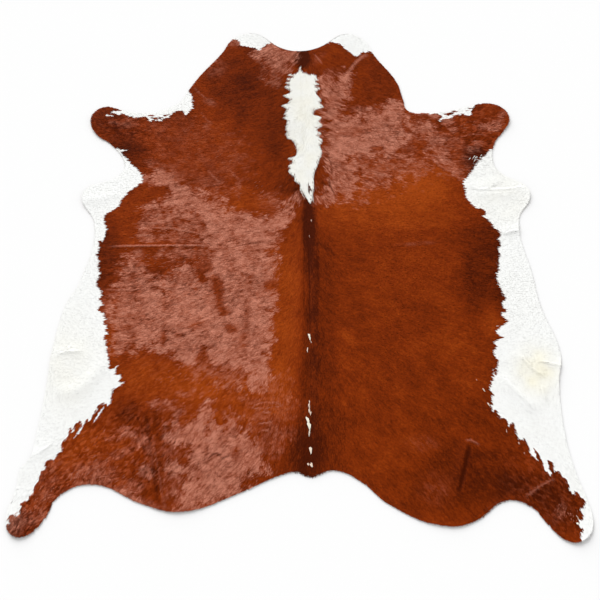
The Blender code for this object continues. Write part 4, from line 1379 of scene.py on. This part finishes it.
def coat_colours(spots, way, luck, crease_light_and_shade, rng):
    """The white, the tone, and the painted sheen of brown hair or the stain of white hair, from 0 to 1,
    of hair that is seen at each spot.
    """
    edge = whiteness(spots)
    white = edge + rng.normal(0.0, BORDER_SPREAD, len(spots)) > 0.0
    noises = {"clump": luck, "own": rng.uniform(-1.0, 1.0, len(spots))}
    for name, (size, reach, seed, steps) in STREAKS.items():
        noises[name] = streaks(spots, way, size, reach, seed, steps)
    for name, (size, seed) in PATCHES.items():
        noises[name] = grain(spots, size, seed)
    noises["blot"] += SPECK_IN_BLOT * noises["speck"]
    # Painted light: dark is the painted shade of the dark creases, glossy and sheen are the painted sheen,
    # and bright creases add a painted highlight to it.
    dark = np.minimum(crease_light_and_shade, 0.0)
    field = painted_sheen_at(spots, weighed(noises, PAINTED_SHEEN_BORDER))
    uneven = weighed(noises, PAINTED_SHEEN_MIX_NOISE)
    glossy = np.clip(field + PAINTED_SHEEN_MIX * field * (1.0 - field) * uneven, 0.0, 1.0)
    sheen = glossy * (PAINTED_SHEEN_MEAN + PAINTED_SHEEN_SWING * weighed(noises, PAINTED_SHEEN_NOISE))
    sheen += CREASE_HIGHLIGHT * np.maximum(crease_light_and_shade, 0.0)
    sheen = np.clip(sheen * (1.0 + CREASE_SHADE_ON_SHEEN * dark), 0.0, 1.0)
    tone = BROWN_TONE + zones(spots, TONES) + weighed(noises, BROWN_NOISE) + CREASE_SHADE_ON_BROWN * dark
    tone -= BORDER_DARKER * np.exp(-((edge / BORDER_REACH) ** 2))
    # Painted shade: the blaze's long hair is darker where it parts.
    parting_shade_mask = np.maximum(noises["line"] + PARTING_SHADE_STREAK * noises["streak"], 0.0)
    blaze = np.clip(zones(spots, LONGER[:1]), 0.0, 1.0)
    pale = WHITE_TONE + weighed(noises, WHITE_NOISE) + CREASE_SHADE_ON_WHITE * dark
    pale += blaze * (LONG_BRIGHTER - PARTING_SHADE * parting_shade_mask)
    stain = zones(spots, STAINS) * (STAIN_MEAN + STAIN_SWING * noises["patch"])
    colours = np.ones((len(spots), 4))
    colours[:, 0] = white
    colours[:, 1] = np.clip(np.where(white, pale, tone), 0.0, 1.0)
    colours[:, 2] = np.where(white, np.clip(stain, 0.0, 1.0), sheen)
    return colours


def wisps(rng):
    """The roots, tips, widths and colours of the locks that lie over the coat."""
    rows = [fringe(rng)]
    for _, x, y, x1, y1, spread, count, length, width, heading, white, tone, gloss in WISPS:
        share = ((np.arange(count) + rng.uniform(*WISP_PLACES, count)) / count)[:, None]
        start, end = to_metres((x, y)), to_metres((x1, y1))
        root = start + share * (end - start) + spread * rng.normal(size=(count, 2))
        parting = WISP_JITTER * (1.0 - WISP_STRAIGHTER * (white > 0))
        turn = np.radians(heading + parting * rng.normal(size=count))
        reach = length * rng.uniform(*WISP_SIZES, count)
        run = np.stack((np.sin(turn), -np.cos(turn)), 1) * reach[:, None]
        colour = np.tile((white, tone, gloss, 1.0), (count, 1))
        colour[:, 1] *= rng.uniform(*WISP_TONES, count)
        rows.append((root, root + run, width * rng.uniform(*WISP_SIZES, count), colour))
    roots, tips, widths, colours = (np.concatenate(parts) for parts in zip(*rows))
    past = np.where(colours[:, 2] < WISP_DULL, WISP_OVERHANG, 0.0)
    fits = (lie().inset(roots) > WISP_INSIDE) & (lie().inset(tips) > -past)
    fits &= (colours[:, 0] > 0.0) | (whiteness(tips) < WISP_PAST_BROWN)
    return [part[fits] for part in (roots, tips, widths, colours)]


def fringe(rng):
    """The locks that reach over the border of the fringed marking."""
    border = evenly_round(rounded(ring_in_metres(WHITE_MARKINGS[FRINGED])), FRINGE_STEP)
    outward = border - drawn_in(border, 1.0)
    way = turned(hair_way(border), np.radians(WISP_JITTER) * rng.normal(size=len(border)))
    leaves = (way * outward).sum(1) > FRINGE_LEAVES
    border, way = border[leaves], way[leaves]
    count = len(border)
    reach = FRINGE_REACH * rng.uniform(*FRINGE_REACHES, count)
    width = FRINGE_WIDTH * rng.uniform(*WISP_SIZES, count)
    colour = np.tile(FRINGE_COLOUR, (count, 1))
    colour[:, 1] *= rng.uniform(*FRINGE_TONES, count)
    return border - way * FRINGE_ROOT, border + way * reach[:, None], width, colour


def laid_locks(coat, rng):
    """The locks of the coat itself: their roots, tips and widths, the middles and the luck of
    their clumps, how ruffled they are and how much longer than a short lock."""
    ground = lie()
    roots = scattered(coat.spacing, rng)
    roots = roots[ground.inset(roots) > RIM_GAP]
    count = len(roots)
    way = hair_way(roots)
    clumps, luck = clump_of(roots, way, coat.clump, rng)
    ruffled = CALM + np.clip(zones(roots, RUFFLED), 0.0, MOST_RUFFLED)
    sway = sum(np.radians(degrees) * grain(clumps, size, seed) for degrees, size, seed in SWAY)
    own = np.radians(SWAY_SPREAD) * rng.normal(size=count)
    longer = 1.0 + zones(roots, LONGER)
    length = coat.length * longer * (1.0 + LENGTH_SPREAD * rng.uniform(-1.0, 1.0, count))
    way = turned(way, (sway + own) * ruffled)
    clump_way = turned(hair_way(clumps), sway * ruffled)
    tips = roots + way * length[:, None]
    meet = clumps + clump_way * (coat.length * longer * CLUMP_REACH)[:, None]
    meet += CLUMP_WIDTH * (roots - clumps)
    tips += (coat.draw * np.clip(ruffled, CALM_DRAW, 1.0))[:, None] * (meet - tips)
    keep = np.full(count, CUT_SHORTEST)
    for share in CUTS:
        fits = ground.inset(roots + (tips - roots) * share) > -coat.overhang * longer
        keep[fits & (keep > share - CUT_STEP)] = share
    tips = roots + (tips - roots) * keep[:, None]
    broad = coat.width * (1.0 + WIDTH_SPREAD * rng.uniform(-1.0, 1.0, count)) / np.sqrt(longer)
    return roots, tips, broad, clumps, luck, ruffled, longer


def grown_locks(coat, skin):
    """All the locks: their roots, points, facings and colours, and where along a lock each point
    is."""
    ground = lie()
    rng = np.random.default_rng(coat.seed)
    laid = laid_locks(coat, rng)
    over_roots, over_tips, over_broad, over_colours = wisps(rng)
    extra = len(over_roots)
    none, calm, short = np.zeros(extra), np.full(extra, WISP_RUFFLED), np.ones(extra)
    over = (over_roots, over_tips, over_broad, over_roots, none, calm, short)
    roots, tips, broad, clumps, luck, ruffled, longer = map(np.concatenate, zip(laid, over))
    count = len(roots)
    run = tips - roots
    length = np.maximum(np.hypot(*run.T), SHORTEST)
    side = np.stack((-run[:, 1], run[:, 0]), 1) / length[:, None]
    lean = LEAN_SPREAD * rng.uniform(-1.0, 1.0, count) * length
    waist = roots + WAIST * run + side * lean[:, None]
    half = side * (np.minimum(broad, STOUTEST * length) / 2)[:, None]
    half_width = np.hypot(*half.T)
    seen = roots + SEEN * run
    colours = coat_colours(seen, hair_way(seen), luck, crease_lines(seen)[1], rng)
    brown = colours[:, 0] < 0.5
    # Ruffled clumps vary in tone, and in painted sheen.
    wave = (np.clip(zones(seen, RUFFLED), 0.0, 1.0) * luck)[brown]
    colours[brown, 1] += WAVE_TONE * wave
    colours[brown, 2] += WAVE_PAINTED_SHEEN * np.maximum(wave, 0.0)
    colours[brown] = np.clip(colours[brown], 0.0, 1.0)
    colours[-extra:] = over_colours
    white = colours[:, 0]
    loft = coat.loft * (1.0 + LOFT_SWING * grain(clumps, LOFT_PATCH, LOFT_SEED) * ruffled)
    loft *= 1.0 - LONG_LOFT + LONG_LOFT * longer
    flatter = 1.0 - WHITE_FLATTER * white * np.clip(WHITE_LONG - longer, 0.0, 1.0)
    loft *= (1.0 + LOFT_SPREAD * rng.uniform(-1.0, 1.0, count)) * flatter
    loft[-extra:] = coat.loft * (WISP_LOFT + WHITE_WISP_LOFT * white[-extra:])
    tilt = TILT_SPREAD * rng.normal(size=count) * ruffled
    past = np.maximum(-ground.inset(tips), 0.0)
    places = (roots, waist + half, waist, waist - half, tips)
    heights = (
        np.full(count, -ROOT_DEPTH),
        EDGE_HEIGHT * loft + tilt * half_width,
        RIDGE_HEIGHT * loft + RIDGE_RISE * half_width,
        EDGE_HEIGHT * loft - tilt * half_width,
        loft - TIP_DROOP * past,
    )
    points = np.zeros((count, LOCK_POINTS, 3))
    for index, (spots, height) in enumerate(zip(places, heights)):
        points[:, index, :2] = spots
        points[:, index, 2] = np.maximum(ground.floor_gap(spots) + skin + height, CLEAR)
    across = np.column_stack((half / half_width[:, None], np.zeros(count)))
    onward = np.column_stack((run / length[:, None], np.zeros(count)))
    smoother = 1.0 - WHITE_SMOOTHER * white[:, None]
    up = ground.facing(roots + 0.5 * run)
    up[:, :2] *= 1.0 - WHITE_SOFTER * white[:, None]
    up[:, :2] += FACING_SPREAD * rng.normal(size=(count, 2)) * ruffled[:, None] * smoother
    tilts = (ROUNDNESS * smoother * (a * across + b * onward) for a, b in LOCK_TILTS)
    facing = np.stack([up + turn for turn in tilts], 1)
    strand = np.zeros((count, LOCK_POINTS, 3))
    strand[:, :, 0] = LOCK_ACROSS
    strand[:, :, 1] = LOCK_ALONG
    strand[:, :, 2] = rng.uniform(0.0, STRAND_SEEDS, count)[:, None]
    return roots, points, facing, colours, strand


def new_mesh(name, points, triangles):
    """A mesh object of triangles, smooth shaded, at the frame's origin."""
    mesh = bpy.data.meshes.new(name)
    mesh.vertices.add(len(points))
    mesh.vertices.foreach_set("co", points.astype(np.float32).ravel())
    mesh.loops.add(triangles.size)
    mesh.loops.foreach_set("vertex_index", triangles.astype(np.int32).ravel())
    mesh.polygons.add(len(triangles))
    mesh.polygons.foreach_set("loop_start", np.arange(0, triangles.size, 3, dtype=np.int32))
    mesh.update(calc_edges=True)
    piece = bpy.data.objects.new(name, mesh)
    bpy.context.scene.collection.objects.link(piece)
    return piece


def add_attribute(piece, name, kind, values):
    """Gives each point of a piece a colour or a vector."""
    attribute = piece.data.attributes.new(name, kind, "POINT")
    field = "color" if kind == "FLOAT_COLOR" else "vector"
    attribute.data.foreach_set(field, values.astype(np.float32).ravel())


def add_map(piece, places, triangles):
    """A map of the piece laid flat, from 0 to 1 over its own box."""
    low, high = places.min(0), places.max(0)
    flat = (places - low) / (high - low)
    layer = piece.data.uv_layers.new(name="OFBake")
    layer.uv.foreach_set("vector", flat[triangles.ravel()].astype(np.float32).ravel())


class Value:
    """A number on its way through a material, on which sums can be written."""

    def __init__(self, nodes, socket):
        self.nodes = nodes
        self.socket = socket

    def sum(self, operation, first, second):
        return self.nodes.add("ShaderNodeMath", {"operation": operation}, (first, second))

    def __add__(self, other):
        return self.sum("ADD", self, other)

    __radd__ = __add__

    def __sub__(self, other):
        return self.sum("SUBTRACT", self, other)

    def __rsub__(self, other):
        return self.sum("SUBTRACT", other, self)

    def __mul__(self, other):
        return self.sum("MULTIPLY", self, other)

    __rmul__ = __mul__

    def clipped(self):
        return self.nodes.add("ShaderNodeClamp", {}, {"Value": self})


class Nodes:
    """The node tree of a new material."""

    def __init__(self, name):
        self.material = bpy.data.materials.new(name)
        self.material.use_nodes = True
        self.tree = self.material.node_tree
        self.shader = self.tree.nodes["Principled BSDF"]

    def add(self, kind, settings, values=(), output=0):
        """A new node's output. Settings are set first, then the values or links of its sockets."""
        node = self.tree.nodes.new(kind)
        for name, value in settings.items():
            if name == "stops":
                self.set_stops(node.color_ramp, value)
            else:
                setattr(node, name, value)
        items = values.items() if isinstance(values, dict) else enumerate(values)
        for socket, value in items:
            self.put(node.inputs[socket], value)
        return Value(self, node.outputs[output])

    def set_stops(self, ramp, stops):
        while len(ramp.elements) < len(stops):
            ramp.elements.new(1.0)
        for element, (place, colour) in zip(ramp.elements, stops):
            element.position = place
            element.color = (*colour, 1.0)

    def put(self, socket, value):
        if isinstance(value, Value):
            self.tree.links.new(value.socket, socket)
        elif hasattr(value, "__len__") and len(value) == 3 and socket.type == "RGBA":
            socket.default_value = (*value, 1.0)
        else:
            socket.default_value = value

    def surface(self, **values):
        """Feeds the shader's sockets, which are named in words joined by underscores."""
        for name, value in values.items():
            self.put(self.shader.inputs[name.replace("_", " ")], value)

    def mix(self, share, first, second):
        settings = {"data_type": "RGBA", "clamp_factor": True}
        return self.add("ShaderNodeMix", settings, {0: share, 6: first, 7: second}, output=2)

    def attribute(self, name, output):
        return self.add("ShaderNodeAttribute", {"attribute_name": name}, output=output)

    def parts(self, vector):
        """The three numbers of a vector."""
        node = self.add("ShaderNodeSeparateXYZ", {}, (vector,)).socket.node
        return [Value(self, socket) for socket in node.outputs]

    def noise(self, place, scale, detail):
        values = {"Vector": place, "Scale": scale, "Detail": detail}
        return self.add("ShaderNodeTexNoise", {}, values)

    def bump(self, height, strength, distance):
        values = {"Strength": strength, "Distance": distance, "Height": height}
        return self.add("ShaderNodeBump", {}, values)


def coat_finish(coat):
    """Hair: brown with a painted sheen mixed into its colour, or white, in fine strands; painted shade
    darkens the brown towards its roots.
    """
    nodes = Nodes("hair")
    # sheen is the painted sheen of brown hair, or the stain of white hair.
    white, tone, sheen = nodes.parts(nodes.attribute("coat", "Vector"))
    across, along, seed = nodes.parts(nodes.attribute("strand", "Vector"))
    lined_up = (across * STRANDS_ACROSS, along * STRANDS_ALONG, seed)
    place = nodes.add("ShaderNodeCombineXYZ", {}, lined_up)
    strands = nodes.noise(place, STRANDS_SCALE, 1.0) - 0.5
    spot = nodes.add("ShaderNodeTexCoord", {}, output="Object")
    speckle = nodes.noise(spot, SPECKLE_SCALE, 2.0) - 0.5
    # low is nearness to the root, where painted shade darkens the brown and dims its painted sheen.
    low = 1.0 - along
    varied = strands * BROWN_STRANDS + speckle * BROWN_SPECKLE
    brown_tone = (tone + varied - low * ROOT_SHADE).clipped()
    stops = ((0.0, coat.brown_dark), (0.5, coat.brown), (1.0, coat.brown_bright))
    brown = nodes.add("ShaderNodeValToRGB", {"stops": stops}, (brown_tone,))
    # glow is the painted sheen, a pinkish painted highlight mixed into the brown's colour.
    varied = 1.0 + strands * PAINTED_SHEEN_STRANDS + speckle * PAINTED_SHEEN_SPECKLE
    glow = (sheen * varied - low * sheen * ROOT_SHADE_ON_SHEEN).clipped()
    brown = nodes.mix(glow, brown, coat.sheen)
    pale_tone = (tone + strands * WHITE_STRANDS + speckle * WHITE_SPECKLE).clipped()
    pale = nodes.mix(pale_tone, coat.white_low, coat.white)
    pale = nodes.mix(sheen, pale, coat.cream)
    nodes.surface(
        Base_Color=nodes.mix(white, brown, pale),
        Roughness=HAIR_ROUGHNESS - glow * GLOSS_SMOOTHER,
        Normal=nodes.bump(strands, *HAIR_BUMP),
        Specular_IOR_Level=HAIR_SPECULAR,
    )
    return nodes.material


def leather_finish(leather):
    """The flesh side and the cut edge: napped, pale leather with soft mottling."""
    nodes = Nodes("leather")
    place = nodes.add("ShaderNodeTexCoord", {}, output="Object")
    mottled = nodes.noise(place, MOTTLE_SCALE, 4.0)
    nap = nodes.noise(place, NAP_SCALE, 3.0)
    darker = tuple(LEATHER_DARKER * part for part in leather)
    share = (mottled * MOTTLE_SHARE + nap * NAP_SHARE).clipped()
    nodes.surface(
        Base_Color=nodes.mix(share, darker, tuple(leather)),
        Roughness=LEATHER_ROUGHNESS + nap * NAP_ROUGHER,
        Normal=nodes.bump(nap + mottled * MOTTLE_BUMP, *LEATHER_BUMP),
        Specular_IOR_Level=LEATHER_SPECULAR,
    )
    return nodes.material


def signed_area(ring):
    """The area in a closed ring, above nothing where the ring turns to the left."""
    following = np.roll(ring, -1, axis=0)
    return (ring[:, 0] * following[:, 1] - following[:, 0] * ring[:, 1]).sum() / 2


def evenly_round(ring, step):
    """Places at even steps round a closed ring."""
    closed = np.vstack((ring, ring[:1]))
    run = np.concatenate(((0.0,), np.cumsum(np.hypot(*np.diff(closed, axis=0).T))))
    count = int(round(run[-1] / step))
    at = np.linspace(0.0, run[-1], count, endpoint=False)
    return np.stack([np.interp(at, run, closed[:, axis]) for axis in (0, 1)], 1)


def drawn_in(ring, distance):
    """A closed ring with each place moved to the inside."""
    along = np.roll(ring, -1, axis=0) - np.roll(ring, 1, axis=0)
    inward = np.stack((-along[:, 1], along[:, 0]), 1) / np.hypot(*along.T)[:, None]
    return ring + inward * distance * np.sign(signed_area(ring))


def skin_places(step):
    """The leather's places on the floor, with its rim first, and the triangles between them."""
    ground = lie()
    rim = drawn_in(evenly_round(ground.rim, RIM_STEP * step), CUT_BACK)
    field = scattered(step, np.random.default_rng(SKIN_DISORDER))
    field = field[ground.inset(field) > CUT_BACK + RIM_STEP * step]
    places = np.vstack((rim, field))
    ring = list(range(len(rim)))
    found = delaunay_2d_cdt([Vector(spot) for spot in places], [], [ring], 1, SAME_PLACE)
    return np.array([tuple(spot) for spot in found[0]]), np.array(found[2]), len(rim)


class RUG_OT_lay_skin(bpy.types.Operator):
    """Lays the leather of the hide on the folds of the frame"""

    bl_idname = "rug.lay_skin"
    bl_label = "Lay the leather"

    def execute(self, context):
        hide = context.scene.rug_hide
        coat = context.scene.rug_coat
        places, faces, rim = skin_places(hide.mesh_step)
        count = len(places)
        gap = lie().floor_gap(places)
        flesh = np.column_stack((places, gap))
        hair_side = np.column_stack((places, gap + hide.skin))
        ring = np.arange(rim)
        following = np.roll(ring, -1)
        below, above = (ring + count, following + count, following), (ring + count, following, ring)
        side = np.vstack([np.stack(corners, 1) for corners in (below, above)])
        if signed_area(places[:rim]) > 0:
            side = side[:, ::-1]
        corner = places[faces[:, 0]]
        first = places[faces[:, 1]] - corner
        second = places[faces[:, 2]] - corner
        upward = first[:, 0] * second[:, 1] > first[:, 1] * second[:, 0]
        faces[~upward] = faces[~upward][:, ::-1]
        triangles = np.vstack((faces, faces[:, ::-1] + count, side))
        skin = new_mesh("leather", np.vstack((hair_side, flesh)), triangles)
        skin.data.materials.append(coat_finish(coat))
        skin.data.materials.append(leather_finish(hide.leather))
        slots = np.ones(len(triangles), np.int32)
        slots[: len(faces)] = 0
        skin.data.polygons.foreach_set("material_index", slots)
        way = hair_way(places)
        rng = np.random.default_rng(coat.seed)
        colours = coat_colours(places, way, np.zeros(count), np.zeros(count), rng)
        add_attribute(skin, "coat", "FLOAT_COLOR", np.vstack((colours, colours)))
        strand = np.zeros((2 * count, 3))
        strand[:, 2] = SKIN_SEED
        add_attribute(skin, "strand", "FLOAT_VECTOR", strand)
        beside = (places[:, 0].max() - places[:, 0].min()) * MAP_GAP
        add_map(skin, np.vstack((places, places + (beside, 0.0))), triangles)
        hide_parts(NODE)
        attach(skin, BODY)
        return {"FINISHED"}


class RUG_OT_grow_coat(bpy.types.Operator):
    """Grows the coat: brown and white locks of hair laid along the hide"""

    bl_idname = "rug.grow_coat"
    bl_label = "Grow the coat"

    def execute(self, context):
        coat = context.scene.rug_coat
        skin = bpy.data.objects["leather"]
        roots, points, facing, colours, strand = grown_locks(coat, context.scene.rug_hide.skin)
        shares = roots / HALF
        hair = skin.data.materials[0]
        for band, low, high in BANDS:
            for side, sign in SIDES:
                chosen = (shares[:, 1] >= low) & (shares[:, 1] < high)
                chosen &= sign * (shares[:, 0] - MIDLINE) >= 0.0
                locks = [part[chosen] for part in (points, facing, colours, strand)]
                self.joined(band + "_" + side, hair, *locks)
        area = abs(signed_area(lie().rim))
        return {"FINISHED"}

    def joined(self, name, hair, points, facing, colours, strand):
        """One piece of the coat, of the locks given."""
        starts = LOCK_POINTS * np.arange(len(points))
        triangles = (starts[:, None, None] + LOCK_FACES).reshape(-1, 3)
        places = points.reshape(-1, 3)
        facing = facing.reshape(-1, 3)
        facing = facing / np.linalg.norm(facing, axis=1)[:, None]
        piece = new_mesh("coat_" + name, places, triangles)
        piece.data.materials.append(hair)
        add_map(piece, places[:, :2], triangles)
        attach(piece, BODY)
        piece.data.normals_split_custom_set_from_vertices(facing)
        add_attribute(piece, "coat", "FLOAT_COLOR", np.repeat(colours, LOCK_POINTS, 0))
        add_attribute(piece, "strand", "FLOAT_VECTOR", strand)
        return piece


class RUG_OT_set_studio(bpy.types.Operator):
    """Sets the floor, the lights and the camera"""

    bl_idname = "rug.set_studio"
    bl_label = "Set the studio"

    AIM = Vector((0.0018, -0.1738, 0.0))
    FLOOR_SIZE = 120.0
    KEY_FROM = 112.0  # degrees round the rug, from its right side towards the neck
    KEY_AWAY = 4.0
    KEY_WIDTH = 50.0  # degrees over which the key light is spread
    SENSOR = 36.0  # millimetres

    def execute(self, context):
        studio = context.scene.rug_studio
        bpy.ops.object.select_all(action="DESELECT")
        bpy.ops.mesh.primitive_plane_add(size=self.FLOOR_SIZE, location=(0.0, 0.0, 0.0))
        floor = context.object
        floor.name = "floor"
        nodes = Nodes("floor")
        nodes.surface(Base_Color=tuple(studio.floor), Roughness=1.0, Specular_IOR_Level=0.0)
        floor.data.materials.append(nodes.material)
        world = bpy.data.worlds.new("studio")
        world.use_nodes = True
        background = world.node_tree.nodes["Background"]
        background.inputs["Color"].default_value = (1.0, 1.0, 1.0, 1.0)
        background.inputs["Strength"].default_value = studio.fill
        context.scene.world = world
        context.scene.view_settings.view_transform = "Standard"
        self.add_key(context, studio)
        self.add_camera(context, studio)
        return {"FINISHED"}

    def add_key(self, context, studio):
        turn = math.radians(self.KEY_FROM)
        level = math.cos(studio.key_height)
        away = Vector((math.cos(turn) * level, math.sin(turn) * level, math.sin(studio.key_height)))
        bpy.ops.object.light_add(type="SUN", location=self.KEY_AWAY * away)
        light = context.object
        light.name = "key"
        light.data.energy = studio.key
        light.data.angle = math.radians(self.KEY_WIDTH)
        light.rotation_euler = away.to_track_quat("Z", "Y").to_euler()

    def add_camera(self, context, studio):
        back = Vector((0.0, -math.cos(studio.elevation), math.sin(studio.elevation)))
        place = self.AIM + studio.distance * back
        bpy.ops.object.camera_add(location=place)
        camera = context.object
        camera.name = "camera"
        camera.rotation_euler = (self.AIM - place).to_track_quat("-Z", "Y").to_euler()
        camera.data.lens = studio.lens
        camera.data.sensor_width = self.SENSOR
        context.scene.camera = camera


class RUG_PT_panel(bpy.types.Panel):
    bl_label = "Cowhide rug"
    bl_idname = "RUG_PT_panel"
    bl_space_type = "VIEW_3D"
    bl_region_type = "UI"
    bl_category = "Rug"

    def draw(self, context):
        for name in GROUPS:
            box = self.layout.box()
            settings = getattr(context.scene, name)
            for field in settings.__annotations__:
                box.prop(settings, field)
        for operator in OPERATORS:
            self.layout.operator(operator.bl_idname)


GROUPS = {"rug_hide": HideSettings, "rug_coat": CoatSettings, "rug_studio": StudioSettings}
OPERATORS = (RUG_OT_lay_skin, RUG_OT_grow_coat, RUG_OT_set_studio)
CLASSES = (*GROUPS.values(), *OPERATORS, RUG_PT_panel)


def register():
    for cls in CLASSES:
        bpy.utils.register_class(cls)
    for name, group in GROUPS.items():
        setattr(bpy.types.Scene, name, PointerProperty(type=group))


def unregister():
    for name in GROUPS:
        delattr(bpy.types.Scene, name)
    for cls in reversed(CLASSES):
        bpy.utils.unregister_class(cls)


def main():
    register()
    bpy.ops.rug.lay_skin()
    bpy.ops.rug.grow_coat()
    bpy.ops.rug.set_studio()


if __name__ == "__main__":
    main()
